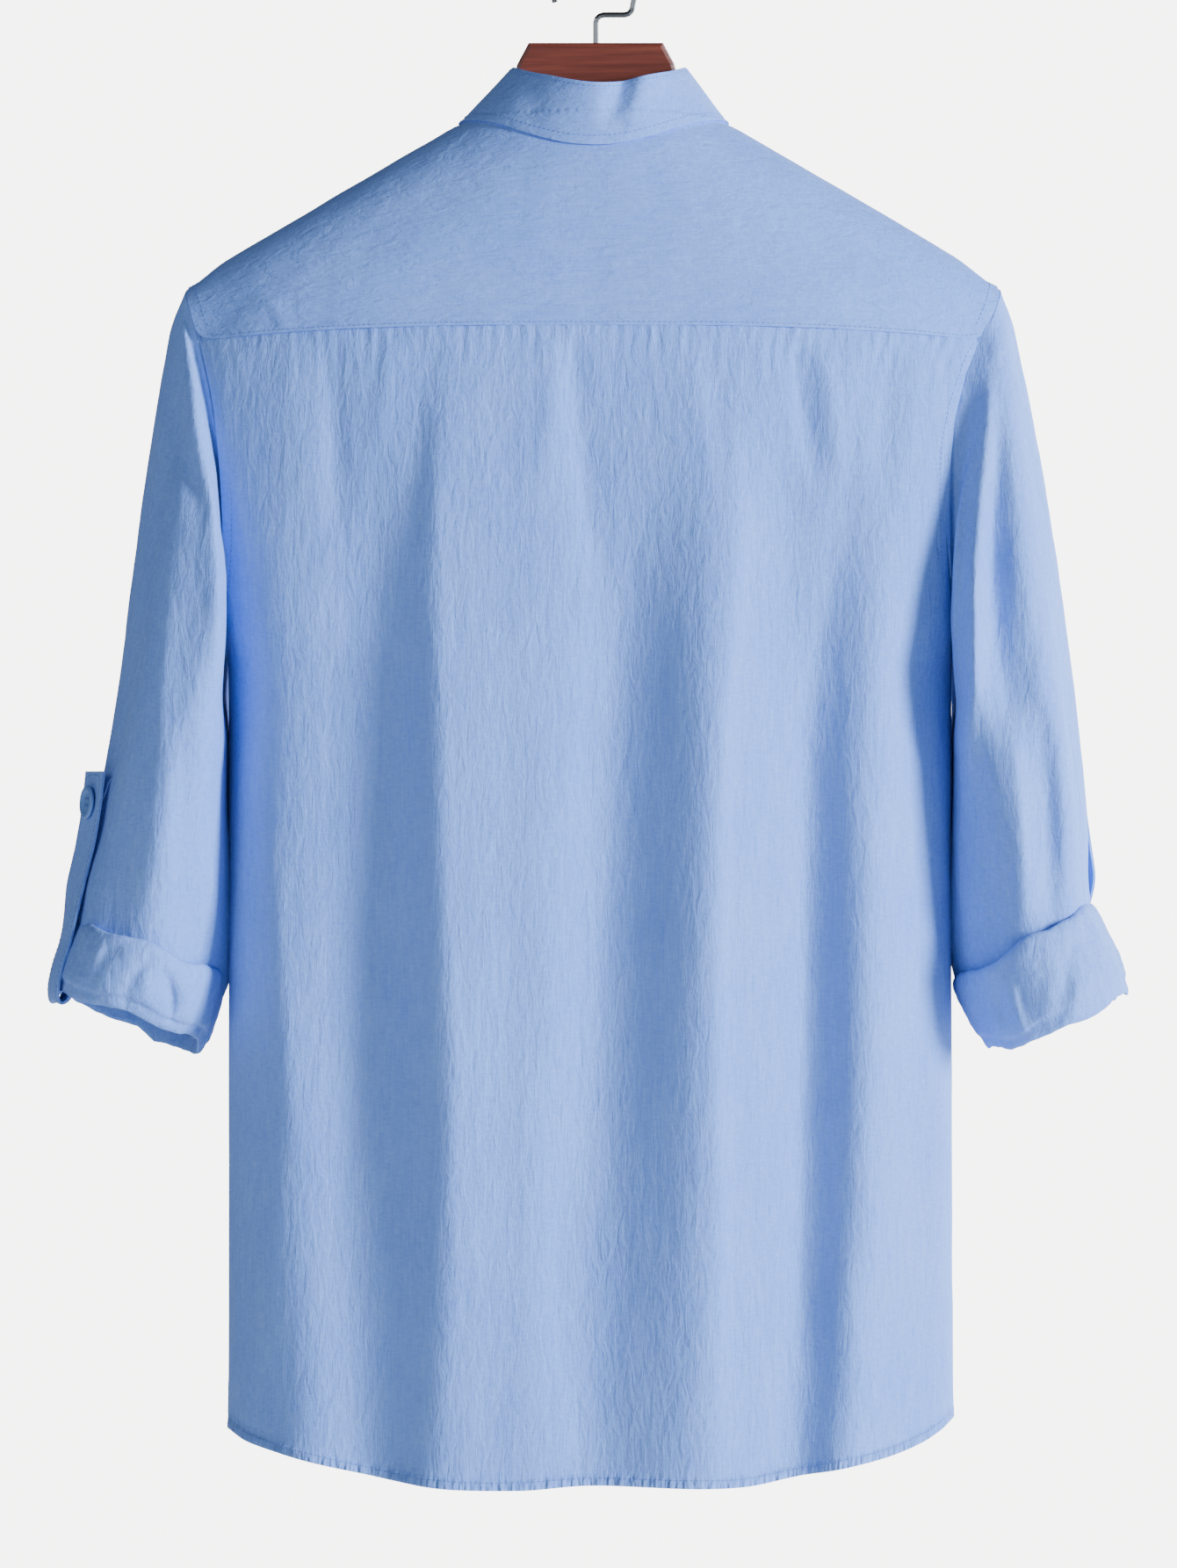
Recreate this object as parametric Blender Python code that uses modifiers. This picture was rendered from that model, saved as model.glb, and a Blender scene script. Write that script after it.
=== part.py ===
"""A mandarin collar shirt on a flat wooden hanger, at real size.

Metres, +Z up. The origin is where the hook's inside rests on its rail. The garment's back faces -Y and the
wearer's left is -X. Lengths below are in millimetres and are scaled to metres as each mesh is made.
Cloth pieces are closed walls: an outer skin of points worked out from the garment's sizes, and an inner skin
moved in from it by the cloth's thickness. Where two pieces are sewn they stand SEAM_GAP apart.
"""

import math

import bmesh
import bpy
from mathutils import Vector

MM = 0.001
TITLE = "Mandarin collar shirt on a hanger"

# Cloth
WALL = 1.4
SEAM_GAP = 0.3
SLEEVE_SEAM_GAP = 0.8
HEM_HEIGHT = 5.0
HEM_RAISED = 0.7

# Shoulders and yoke
NECK_HALF_WIDTH = 77.0
NECK_BACK = 56.0
NECK_FRONT = 62.0
RIDGE_AT_NECK = -102.4
SHOULDER_SLOPE = 0.59
RIDGE_ROUND = 18.0
RIDGE_POWER = 1.25
SHOULDER_TIP = 230.0
YOKE_SEAM_CENTRE = -220.5
YOKE_SEAM_DROP = 6.5
FRONT_TURN_CENTRE = -236.0
FRONT_TURN_RISE = 9.0
YOKE_FRONT_ANGLE = 0.43
YOKE_CORNER_TURN = 58
YOKE_ROWS = 5

# Body. The panels' edges follow the armholes down to the underarm and the side seams below it.
PANEL_TOP = -227.0
PANEL_DROP = 612.0
UNDERARM = -408.0
ARMHOLE_MIDDLE = -300.0
ARMHOLE_BACK = 46.0
ARMHOLE_FRONT = 43.0
ARMHOLE_TOP_IN = 13.0
FRONT_SCOOP = 4.0
SIDE_POWER = 2.4
TOP_POWER = 1.2
SIDE_TURN = -350.0

EDGES = {
    "z": (-842, -600, -408, -370, -330, -290, -257, -240, -224, -205, -190),
    "left": (-207.7, -207.7, -207.7, -207.9, -208.5, -210.5, -215.5, -219.5, -223.5, -229, -232.5),
    "right": (204, 203.5, 203.5, 201.5, 199.5, 200, 206.5, 213, 221, 228, 231.5),
}
DEPTHS = {
    "z": (-870, -600, -408, -300, -215),
    "back": (76, 78, 79, 76, 68),
    "front": (70, 72, 74, 74, 70),
}
# The hem's height across each panel, from the left side seam to the right.
HEMS = {
    "across": (-1, -0.94, -0.87, -0.76, -0.66, -0.52, -0.38, -0.2, 0, 0.4, 0.56, 0.7, 0.81, 0.9, 0.96, 1),
    "back": (-842, -847, -850.5, -856, -860.6, -866, -869, -870, -867.7, -868.6, -863.6, -858,
             -853.5, -847.5, -841, -836),
    "front": (-842, -846.5, -850, -856, -860, -864, -867, -869, -870, -868, -864, -858, -852,
              -846, -840.5, -836),
}
# Folds. Each row is a crest (raised) or a trough (sunk): where it lies across at four heights, and its height.
FOLD_HEIGHTS = (-250, -450, -650, -860)
FOLD_ENDS = (-212.0, 208.0)
FOLD_START = -205.0
FOLD_GROWTH = 90.0
FOLD_FREE_EDGE = 0.12
BACK_FOLDS = (
    ((-176, -182, -176, -166), (1.0, 6.0, 7.0, 5.5)),
    ((-120, -124, -130, -122), (-2.0, -7.5, -8.5, -6.5)),
    ((-88, -84, -76, -84), (2.5, 8.5, 10.0, 7.5)),
    ((-42, -38, -40, -42), (0.0, 2.0, 1.5, 1.5)),
    ((10, 12, 8, -2), (-3.5, -7.5, -8.0, -6.5)),
    ((66, 68, 62, 58), (2.5, 9.0, 9.5, 7.0)),
    ((112, 114, 116, 114), (-2.5, -7.5, -9.0, -8.0)),
    ((156, 153, 152, 138), (1.5, 8.0, 10.0, 7.5)),
    ((188, 186, 187, 182), (0.0, 1.0, 0.5, 0.0)),
)
FRONT_FOLDS = (
    ((-176, -172, -165, -168), (1.0, 5.0, 6.0, 5.0)),
    ((-128, -132, -128, -120), (-2.0, -6.0, -7.0, -6.0)),
    ((-80, -88, -84, -78), (2.0, 5.5, 6.5, 5.5)),
    ((-45, -50, -48, -46), (-0.5, -2.5, -3.0, -2.0)),
    ((-18, -18, -18, -18), (0.0, 0.0, 0.0, 0.0)),
    ((18, 18, 18, 18), (0.0, 0.0, 0.0, 0.0)),
    ((52, 48, 52, 50), (-1.0, -3.0, -3.5, -2.5)),
    ((88, 84, 90, 86), (2.0, 5.0, 6.0, 5.5)),
    ((130, 126, 122, 126), (-2.0, -5.5, -6.5, -5.5)),
    ((170, 168, 164, 158), (1.0, 5.0, 6.0, 5.0)),
)

# Gathers along the back's seam with the yoke, and the strong ones among them.
GATHERS = 56
GATHER_HEIGHT = 0.5
GATHER_LENGTH = 17.0
STRONG_GATHERS = (-170, -111, -88, -53, -34, -15, 37, 51, 70, 93, 111, 127, 149, 160, 168, 191, 200)
GATHER_ROWS = (0.0, 7.0, 19.0)
BACK_LEVELS = (0.055, 0.1, 0.16, 0.22, 0.27, 0.2957, 0.36, 0.46, 0.57, 0.68, 0.79, 0.9)

# Front: the band, the overlap and the buttons
BAND_HALF = 16.0
BAND_RAISED = 0.8
BAND_CLEAR = 0.1
BAND_FOLD = 5.0
BAND_LEVELS = (0.0, 0.06, 0.12, 0.2, 0.28, 0.36, 0.44, 0.52, 0.6, 0.68, 0.76, 0.84, 0.92, 1.0)
BAND_STEP = {"from": 44.0, "over": 22.0}
RIGHT_FRONT_EDGE = -13.0
FRONT_COLUMNS = {"left": 18, "right": 20}
FRONT_TOPS = 3
FRONT_LEVELS = (0.035, 0.07, 0.11, 0.16, 0.22, 0.27, 0.2957, 0.38, 0.5, 0.63, 0.76, 0.89)
SEAM_ANGLE = 0.004
BUTTON_TOP = -172.0
BUTTON_STEP = 88.0
BUTTONS_FRONT = 7

# Collar
COLLAR_TOP_HALF = 50.0
COLLAR_TOP_SHIFT = 3.0
COLLAR_TOP_BACK = 55.0
COLLAR_TOP_FRONT = 49.0
COLLAR_TOP_Z = {"angle": (0, 45, 90, 135, 180), "z": (-84.5, -77.0, -69.5, -90.0, -108.0)}
COLLAR_WALL = 2.2
COLLAR_LAP = 0.2
COLLAR_LAP_STEP = 2.7
COLLAR_CORNER = 9.0
COLLAR_COLUMNS = 46
COLLAR_ROWS = 4
COLLAR_ROUND = (60.0, 52.0)
COLLAR_LAP_FROM = {"turn": 2.2, "over": 0.7}
# Dents (sunk) and ridges of the standing band: across at its foot and at its top, height, half width.
COLLAR_DENTS = ((16.0, 19.0, -4.5, 9.0), (25.0, 31.0, 3.0, 7.0), (-25.0, -32.0, -1.2, 14.0))

# Sleeves: rows from the armhole to the roll, as distances out from the garment's middle.
SLEEVE_COLUMNS = 34
SLEEVES = {
    "left": (
        # outer x, outer z, inner x, inner z, depth back, depth front, lean back, lean front
        (238.0, -205, 209.8, -412, 51, 49, 9, 9),
        (244.5, -236, 210.2, -417, 60, 56, 17, 16),
        (252.0, -280, 210.5, -425, 66, 61, 20, 17),
        (258.5, -325, 210.5, -436, 69, 64, 20, 16),
        (264.0, -370, 210.5, -450, 70, 66, 16, 12),
        (269.5, -415, 210.5, -468, 70, 66, 12, 8),
        (276.5, -458, 210.2, -490, 68, 66, 9, 5),
        (285.0, -500, 210.5, -520, 65, 64, 6, 3),
    ),
    "right": (
        (236.5, -205, 205.8, -412, 51, 49, 12, 9),
        (243.5, -236, 206.2, -417, 60, 56, 20, 18),
        (251.5, -280, 206.5, -425, 66, 61, 24, 19),
        (259.0, -325, 206.5, -436, 69, 64, 24, 17),
        (265.5, -370, 206.5, -450, 70, 66, 20, 12),
        (271.5, -415, 206.5, -468, 70, 66, 14, 8),
        (276.5, -458, 206.2, -490, 68, 66, 9, 5),
        (281.5, -504, 206.5, -524, 65, 64, 5, 3),
    ),
}
# Sleeve folds: degrees round from the outer edge by the back, at the top and at the roll; heights; width.
SLEEVE_FOLDS = {
    "left": (
        (62, 48, 2.5, 3.0, 12),
        (40, 30, -1.5, -2.0, 12),
        (100, 100, 2.5, 1.5, 14),
        (250, 262, 3.0, 3.0, 16),
        (290, 300, -3.0, -2.5, 16),
        (325, 322, 2.0, 2.5, 12),
    ),
    "right": (
        (86, 96, 5.0, 3.0, 12),
        (66, 74, -6.0, -3.5, 11),
        (40, 52, 3.5, 3.5, 13),
        (16, 30, -1.0, -2.5, 9),
        (262, 255, 3.0, 3.5, 16),
        (296, 290, -3.0, -3.0, 14),
        (328, 330, 2.5, 2.0, 12),
    ),
}

# Rolled ends: centre, half width, depth, half height (mean, and how much more at the outer end), tilt, pitch
ROLLS = {
    "left": {"x": 259.0, "z": -590.5, "half": 41.0, "depth": 62.0, "height": 20.5, "taller": 0.5,
             "tilt": 19.0, "pitch": 0.10},
    "right": {"x": 254.0, "z": -588.0, "half": 40.0, "depth": 61.5, "height": 23.5, "taller": 4.5,
              "tilt": 24.0, "pitch": 0.06},
}
ROLL_COLUMNS = 34
# The roll's section from the inside foot round: out from the inner face, and up as a share of its half height.
ROLL_SECTION = (
    (0.0, -0.97), (0.0, 0.0), (0.0, 0.95), (1.3, 1.03), (3.0, 1.0), (4.9, 0.86), (5.9, 0.4),
    (6.2, -0.1), (5.9, -0.5), (5.2, -0.66), (3.6, -0.7), (3.3, -0.9), (1.6, -1.05),
)
# Puckers: degrees round from the outer end by the back, lift of the edges, bulge, half width in degrees
ROLL_PUCKERS = (
    (28, 1.5, 1.2, 16), (62, -1.5, 1.6, 14), (95, 1.8, 0.8, 12), (128, -2.2, 2.0, 14), (160, 1.5, 1.0, 12),
    (205, -1.5, 1.2, 16), (248, 1.6, 1.4, 14), (290, -1.6, 1.6, 16), (330, 1.4, 0.8, 14),
)

# Tabs that hold the rolls up
TAB_WIDTH = 28.0
TAB_WALL = 1.6
# Each hangs clear above its roll through rows of: out, towards the side it shows on, and height. The left one
# shows on the back and the right one on the front; the angle is how far round the roll from its outer end.
TABS = {
    "left": {"facing": -1, "angle": 25.0, "slant": 0.45,
             "free": ((281.8, 26.0, -470.0), (283.6, 26.0, -490.0), (287.4, 26.0, -512.0),
                      (293.0, 26.5, -535.0))},
    "right": {"facing": 1, "angle": 50.0, "slant": 0.78,
              "free": ((272.0, 46.5, -470.0), (273.5, 47.5, -490.0), (276.5, 49.0, -512.0),
                       (281.0, 51.0, -535.0))},
}
TAB_COLUMNS = 4
# The tab's way over the roll: out from the roll's inner face, whether its outside, and up as a share.
TAB_WRAP = ((7.6, 1, 0.8), (6.5, 1, 0.3), (6.5, 1, -0.2), (6.0, 1, -0.75), (3.0, 0, -1.45),
            (-2.0, -1, -1.2), (-2.0, -1, -0.7))

# Buttons: radius, thickness, rim
TAB_BUTTON = {"radius": 9.2, "thick": 2.8, "rim": 2.0, "dish": 0.7}
FRONT_BUTTON = {"radius": 5.6, "thick": 2.2, "rim": 1.2, "dish": 0.5}
BUTTON_SIDES = 12
TAB_BUTTON_DOWN = 17.5
BUTTON_LIFT = {"tab": 0.7, "front": 0.45, "collar": 0.6}
BUTTON_BACK_EDGE = 0.6

# Hanger and hook
HANGER_TOP = -55.9
HANGER_TOP_HALF = 38.2
HANGER_CHEEK = (44.7, -68.0)
HANGER_THICK = 14.0
HANGER_EDGE = 2.5
HANGER_CLEAR = 3.1
HANGER_NECK_FOOT = -128.0
HANGER_TIP = 203.0
HANGER_ARM = 27.0
HANGER_SHIFT = 1.2
HANGER_NECK = ((47.8, -79.5), (55.0, -91.5), (65.0, -101.5))
HANGER_SHOULDER_FROM = 78.0
# The arm's rounded end: in from the tip, and down from the ridge.
HANGER_END = ((9.0, -5.3), (2.0, 1.0), (0.0, 8.0), (2.0, 18.0), (9.0, 24.0))
HANGER_UNDER = {"from": 24.0, "to": 40.0, "arm": 34.0, "rise": 6.0}
HOOK_WIRE = 1.6
HOOK_RADIUS = 24.0
HOOK_JOG = -39.4
HOOK_BEND = 4.5
HOOK_SIDE_IN = 2.0
HOOK_STEM_BEND = 6.0
HOOK_END_ANGLE = 205.0

COLOURS = {
    "cloth": (0.29, 0.43, 0.72),
    "button": (0.26, 0.40, 0.70),
    "wood": (0.19, 0.045, 0.028),
    "metal": (0.16, 0.16, 0.17),
}


# Numbers

def smooth(t):
    """0 below 0, 1 above 1, and a soft step between."""
    t = min(1.0, max(0.0, t))
    return t * t * (3 - 2 * t)


def mix(a, b, t):
    return a + (b - a) * t


def curve_at(xs, ys, x):
    """A smooth curve through the table's points (xs rising), flat past its ends."""
    if x <= xs[0]:
        return ys[0]
    if x >= xs[-1]:
        return ys[-1]
    i = max(k for k in range(len(xs) - 1) if xs[k] <= x)
    step = xs[i + 1] - xs[i]

    def slope(k):
        if k in (0, len(xs) - 1):
            return 0.0
        before = (ys[k] - ys[k - 1]) / (xs[k] - xs[k - 1])
        after = (ys[k + 1] - ys[k]) / (xs[k + 1] - xs[k])
        if before * after <= 0:
            return 0.0
        return 2 * before * after / (before + after)

    t = (x - xs[i]) / step
    rise = 3 * t * t - 2 * t ** 3
    return (ys[i] + (ys[i + 1] - ys[i]) * rise
            + step * (t ** 3 - 2 * t * t + t) * slope(i)
            + step * (t ** 3 - t * t) * slope(i + 1))


def bump(x, middle, half):
    return math.exp(-((x - middle) / half) ** 2)


# The body's surface, without folds. side is -1 for the back and 1 for the front.

def ridge(x):
    """The shoulders' top line, carried on inside the neck to where the two sides would meet."""
    out = math.sqrt(x * x + RIDGE_ROUND ** 2)
    return RIDGE_AT_NECK - SHOULDER_SLOPE * (out - math.hypot(NECK_HALF_WIDTH, RIDGE_ROUND))


def armhole_depth(side, z):
    """How far an armhole stands from the middle plane, and 0 below the underarm."""
    if z <= UNDERARM:
        return 0.0
    most = ARMHOLE_BACK if side < 0 else ARMHOLE_FRONT
    if z < ARMHOLE_MIDDLE:
        down = (z - ARMHOLE_MIDDLE) / (UNDERARM - ARMHOLE_MIDDLE)
        return most * math.sqrt(1 - down ** SIDE_POWER)
    up = (z - ARMHOLE_MIDDLE) / (PANEL_TOP - ARMHOLE_MIDDLE)
    return most - ARMHOLE_TOP_IN * up * up


def edges(side, z):
    left = curve_at(EDGES["z"], EDGES["left"], z)
    right = curve_at(EDGES["z"], EDGES["right"], z)
    if side > 0:
        scoop = FRONT_SCOOP * bump(z, ARMHOLE_MIDDLE, 55.0)
        return left + scoop, right - scoop
    return left, right


def panel_depth(side, z, edge_z, s):
    edge = armhole_depth(side, edge_z)
    middle = curve_at(DEPTHS["z"], DEPTHS["back" if side < 0 else "front"], z)
    power = mix(TOP_POWER, SIDE_POWER, smooth((SIDE_TURN - edge_z) / (SIDE_TURN - UNDERARM)))
    return edge + (middle - edge) * max(0.0, 1 - abs(s) ** SIDE_POWER) ** (1 / power)


def turn_height(side, s):
    """Where the shoulders' slope has turned down into the panel: the yoke's seam on the back."""
    if side < 0:
        return YOKE_SEAM_CENTRE - YOKE_SEAM_DROP * abs(s) ** 3
    return FRONT_TURN_CENTRE + FRONT_TURN_RISE * abs(s) ** 3


def shoulder_point(side, s, angle):
    """On the shoulders: s is -1 to 1 across, angle 0 at the ridge and pi / 2 at the turn."""
    fall = (1 - math.cos(angle)) ** RIDGE_POWER
    edge_z = mix(ridge(SHOULDER_TIP), PANEL_TOP, fall)
    left, right = edges(side, edge_z)
    x = mix(left, right, (s + 1) / 2)
    top = ridge(x)
    foot = turn_height(side, s)
    return Vector((x, side * panel_depth(side, foot, PANEL_TOP, s) * math.sin(angle),
                   mix(top, foot, fall)))


def spread(c, edge_z):
    """Columns stand evenly at the yoke's seam, and closer at the sides lower down, where the panel curves."""
    share = smooth((PANEL_TOP - edge_z) / (PANEL_TOP - UNDERARM))
    return mix(c, math.sin(c * math.pi / 2), share)


def hem_height(side, s):
    return curve_at(HEMS["across"], HEMS["back" if side < 0 else "front"], s)


def panel_point(side, s, down):
    """On a panel: s is -1 to 1 across, down 0 at the turn and 1 at the hem."""
    edge_z = PANEL_TOP - PANEL_DROP * down
    left, right = edges(side, edge_z)
    z = mix(turn_height(side, s), hem_height(side, s), down)
    y = panel_depth(side, z, edge_z, s)
    return Vector((mix(left, right, (s + 1) / 2), side * (y + SEAM_GAP / 2), z))


def body_point(side, c, v):
    """v is 0 at the ridge, 1 at the turn and 2 at the hem; c is -1 to 1 across."""
    if v < 1:
        return shoulder_point(side, c, v * math.pi / 2)
    s = spread(c, PANEL_TOP - PANEL_DROP * (v - 1))
    return panel_point(side, s, v - 1)


def body_normal(side, c, v):
    small = 0.004
    near = max(-1.0, c - small), min(1.0, c + small)
    up = max(0.0, v - small)
    across = body_point(side, near[1], v) - body_point(side, near[0], v)
    down = body_point(side, c, min(2.0, v + small)) - body_point(side, c, up)
    normal = across.cross(down) * side
    if abs(c) > 1 - small and PANEL_TOP - PANEL_DROP * (v - 1) <= UNDERARM + 2:
        return Vector((math.copysign(1.0, c), 0.0, 0.0))
    return normal.normalized()


def fold_height(folds, x, z):
    """The folds' height at a point: a soft run from each crest or trough to the next."""
    flipped = [-h for h in FOLD_HEIGHTS]
    places = [curve_at(flipped, row[0], -z) for row in folds]
    heights = [curve_at(flipped, row[1], -z) for row in folds]
    places = [FOLD_ENDS[0]] + places + [FOLD_ENDS[1]]
    heights = [0.0] + heights + [0.0]
    for i in range(len(places) - 1):
        if places[i] <= x <= places[i + 1]:
            return mix(heights[i], heights[i + 1], smooth((x - places[i]) / (places[i + 1] - places[i])))
    return 0.0


def fold_fade(c, z):
    """Folds start below the shoulders and die out towards the armholes and side seams."""
    return smooth((1 - abs(c)) / FOLD_FREE_EDGE) * smooth((FOLD_START - z) / FOLD_GROWTH)


def folded_point(side, c, v):
    point = body_point(side, c, v)
    folds = BACK_FOLDS if side < 0 else FRONT_FOLDS
    point.y += side * fold_height(folds, point.x, point.z) * fold_fade(c, point.z)
    return point


# The neck

def neck_angle(side, x):
    """The angle on the shoulders at which the neck's seam crosses this x."""
    reach = NECK_BACK if side < 0 else NECK_FRONT
    inside = max(0.0, 1 - (x / NECK_HALF_WIDTH) ** 2)
    left, right = edges(side, PANEL_TOP)
    s = 2 * (x - left) / (right - left) - 1
    depth = panel_depth(side, turn_height(side, s), PANEL_TOP, s)
    return math.asin(min(0.98, reach * math.sqrt(inside) / depth))


def across_at(side, x, angle):
    """The share across the shoulders, -1 to 1, of this x at this angle."""
    edge_z = mix(ridge(SHOULDER_TIP), PANEL_TOP, (1 - math.cos(angle)) ** RIDGE_POWER)
    left, right = edges(side, edge_z)
    return 2 * (x - left) / (right - left) - 1


def neck_point(turn):
    """Round the neck's seam: turn is 0 at the back's middle, pi / 2 at the right and pi at the front."""
    side = -1 if math.cos(turn) >= 0 else 1
    x = NECK_HALF_WIDTH * math.sin(turn)
    angle = neck_angle(side, x)
    return shoulder_point(side, across_at(side, x, angle), angle)


# Meshes

def add_triangles(bm, a, b, c, d, flip):
    for corners in ((a, b, c), (a, c, d)):
        bm.faces.new(reversed(corners) if flip else corners)


def bridge(bm, upper, lower, closed, flip):
    """Faces between two rows of points. The lower row may have half as many spans as the upper one."""
    if len(upper) == len(lower):
        count = len(upper)
        for j in range(count if closed else count - 1):
            k = (j + 1) % count
            add_triangles(bm, upper[j], lower[j], lower[k], upper[k], flip)
        return
    for j in range(len(lower) - 1):
        fan = ((upper[2 * j], lower[j], upper[2 * j + 1]),
               (upper[2 * j + 1], lower[j], lower[j + 1]),
               (upper[2 * j + 1], lower[j + 1], upper[2 * j + 2]))
        for corners in fan:
            bm.faces.new(reversed(corners) if flip else corners)


def finish_object(bm, name, material):
    bmesh.ops.recalc_face_normals(bm, faces=bm.faces)
    mesh = bpy.data.meshes.new(name)
    bm.to_mesh(mesh)
    bm.free()
    mesh.shade_smooth()
    mesh.set_sharp_from_angle(angle=math.radians(40))
    piece = bpy.data.objects.new(name, mesh)
    piece.data.materials.append(material)
    PARTS.objects.link(piece)
    return piece


def cloth_wall(name, outer, inner, material, closed=False):
    """A closed wall between two skins, given as rows of points from the top edge to the bottom one."""
    bm = bmesh.new()
    skins = [[[bm.verts.new(p * MM) for p in row] for row in skin] for skin in (outer, inner)]
    for skin, flip in zip(skins, (False, True)):
        for upper, lower in zip(skin, skin[1:]):
            bridge(bm, upper, lower, closed, flip)
    for row, flip in ((0, True), (-1, False)):
        bridge(bm, skins[0][row], skins[1][row], closed, flip)
    if not closed:
        for column, flip in ((0, False), (-1, True)):
            bridge(bm, [row[column] for row in skins[0]], [row[column] for row in skins[1]], False, flip)
    return finish_object(bm, name, material)


def grid_normals(rows, closed, clockwise):
    """Outward normals of a grid whose rows run round a tube, seen from above, and follow each other down."""
    facing = 1 if clockwise else -1
    normals = []
    for i, row in enumerate(rows):
        above, below = rows[max(0, i - 1)], rows[min(len(rows) - 1, i + 1)]
        line = []
        for j in range(len(row)):
            after = (j + 1) % len(row) if closed else min(len(row) - 1, j + 1)
            before = j - 1 if closed or j else 0
            across = row[after] - row[before]
            line.append(across.cross(below[j] - above[j]).normalized() * facing)
        normals.append(line)
    return normals


def moved(rows, normals, distance):
    return [[p + n * distance for p, n in zip(row, line)] for row, line in zip(rows, normals)]


def make_material(name, colour, roughness, metallic=0.0):
    material = bpy.data.materials.new(name)
    material.use_nodes = True
    shader = material.node_tree.nodes["Principled BSDF"]
    shader.inputs["Base Color"].default_value = (*colour, 1.0)
    shader.inputs["Roughness"].default_value = roughness
    shader.inputs["Metallic"].default_value = metallic
    return material


# Panels

def steps(start, end, count):
    return [mix(start, end, i / count) for i in range(count + 1)]


def hem_rows(side, c):
    """The last rows of a column: the hem's top edge twice, so that it stands proud, and its foot."""
    length = (body_point(side, c, 2.0) - body_point(side, c, 1.0)).length
    top = 2.0 - HEM_HEIGHT / length
    return ((top - 0.6 / length, 0.0), (top, HEM_RAISED), (2.0, HEM_RAISED))


def gather_shape(x, j):
    """How high and how long the gather at this x is. They are uneven, and some are strong."""
    uneven = 0.75 + 0.35 * math.sin(j * 1.7) + 0.25 * math.sin(j * 0.61 + 1.0)
    strong = sum(bump(x, place, 5.0) for place in STRONG_GATHERS)
    return GATHER_HEIGHT * (uneven + 0.5 * strong), GATHER_LENGTH * (0.7 + 0.5 * uneven + 0.8 * strong)


def back_panel(material):
    outer, inner = [], []
    fine = 2 * GATHERS
    for drop in GATHER_ROWS:
        row, inside = [], []
        for j in range(fine + 1):
            c = 2 * j / fine - 1
            shift = 0.0 if j in (0, fine) else 0.45 * math.sin(j * 2.4) / fine
            length = (body_point(-1, c, 2.0) - body_point(-1, c, 1.0)).length
            v = 1.0 + (drop + SEAM_GAP) / length
            point = folded_point(-1, c + shift, v)
            height, reach = gather_shape(point.x, j // 2)
            wave = height * (1 if j % 2 else -1) * math.exp(-(drop / reach) ** 2)
            point.y -= wave * smooth((1 - abs(c)) / 0.06)
            row.append(point)
            inside.append(point - body_normal(-1, c, v) * WALL)
        outer.append(row)
        inner.append(inside)
    for level in BACK_LEVELS + (-3, -2, -1):
        row, inside = [], []
        for j in range(GATHERS + 1):
            c = 2 * j / GATHERS - 1
            v, raised = (1 + level, 0.0) if level > 0 else hem_rows(-1, c)[level]
            point = folded_point(-1, c, v)
            normal = body_normal(-1, c, v)
            row.append(point + normal * raised)
            inside.append(point - normal * WALL)
        outer.append(row)
        inner.append(inside)
    return cloth_wall("back_panel", outer, inner, material)


def front_top(x):
    """The v of a front's top edge: the yoke's seam, or the neck's where that is lower."""
    angle = max(YOKE_FRONT_ANGLE, neck_angle(1, x))
    return angle / (math.pi / 2)


def under_band(x):
    """How far the right front steps in to pass under the button band."""
    step = WALL + 3 * SEAM_GAP
    return step * smooth((BAND_STEP["from"] - x) / BAND_STEP["over"])


def front_columns(side_edge, inner_x, count):
    """Columns from the side to the front edge, evenly spread in the panel's own measure."""
    left, right = edges(1, PANEL_TOP)
    inner_c = 2 * (inner_x - left) / (right - left) - 1
    return steps(side_edge, inner_c, count)


def upright_point(x, v):
    """The front's surface at this x, at the height that v gives the middle of the front."""
    if v < 1:
        angle = v * math.pi / 2
        return shoulder_point(1, across_at(1, x, angle), angle)
    left, right = edges(1, PANEL_TOP - PANEL_DROP * (v - 1))
    s = 2 * (x - left) / (right - left) - 1
    point = panel_point(1, s, v - 1)
    point.y += fold_height(FRONT_FOLDS, x, point.z) * smooth((FOLD_START - point.z) / FOLD_GROWTH)
    return point


def front_row_place(i, c, x):
    """The v of a front's row i, and how far the hem stands proud there."""
    if i < FRONT_TOPS:
        return mix(front_top(x) + SEAM_ANGLE, 1.0, i / FRONT_TOPS), 0.0
    if i < FRONT_TOPS + len(FRONT_LEVELS):
        return 1 + FRONT_LEVELS[i - FRONT_TOPS], 0.0
    return hem_rows(1, c)[i - FRONT_TOPS - len(FRONT_LEVELS)]


def front_rows(columns, edge_x, under):
    """Rows of a front, from the yoke's seam over the turn to the hem. Its last column is upright, at edge_x."""
    outer, inner = [], []
    last = len(columns) - 1
    for i in range(FRONT_TOPS + len(FRONT_LEVELS) + 3):
        row, inside = [], []
        for j, c in enumerate(columns):
            x = edge_x if j == last else body_point(1, c, 0.9).x
            v, raised = front_row_place(i, c, x)
            point = upright_point(edge_x, v) if j == last else folded_point(1, c, v)
            normal = body_normal(1, c, v)
            if under:
                point = point - normal * under_band(point.x)
                raised = raised if j < last - 1 else 0.0
            row.append(point + normal * raised)
            inside.append(point - normal * WALL)
        outer.append(row)
        inner.append(inside)
    return outer, inner


def fronts(material):
    left_edge = -BAND_HALF - SEAM_GAP
    left = front_columns(-1.0, left_edge, FRONT_COLUMNS["left"])
    outer, inner = front_rows(left, left_edge, False)
    cloth_wall("front_left", outer, inner, material)
    right = front_columns(1.0, RIGHT_FRONT_EDGE, FRONT_COLUMNS["right"])
    outer, inner = front_rows(right, RIGHT_FRONT_EDGE, True)
    cloth_wall("front_right", [row[::-1] for row in outer], [row[::-1] for row in inner], material)


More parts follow.
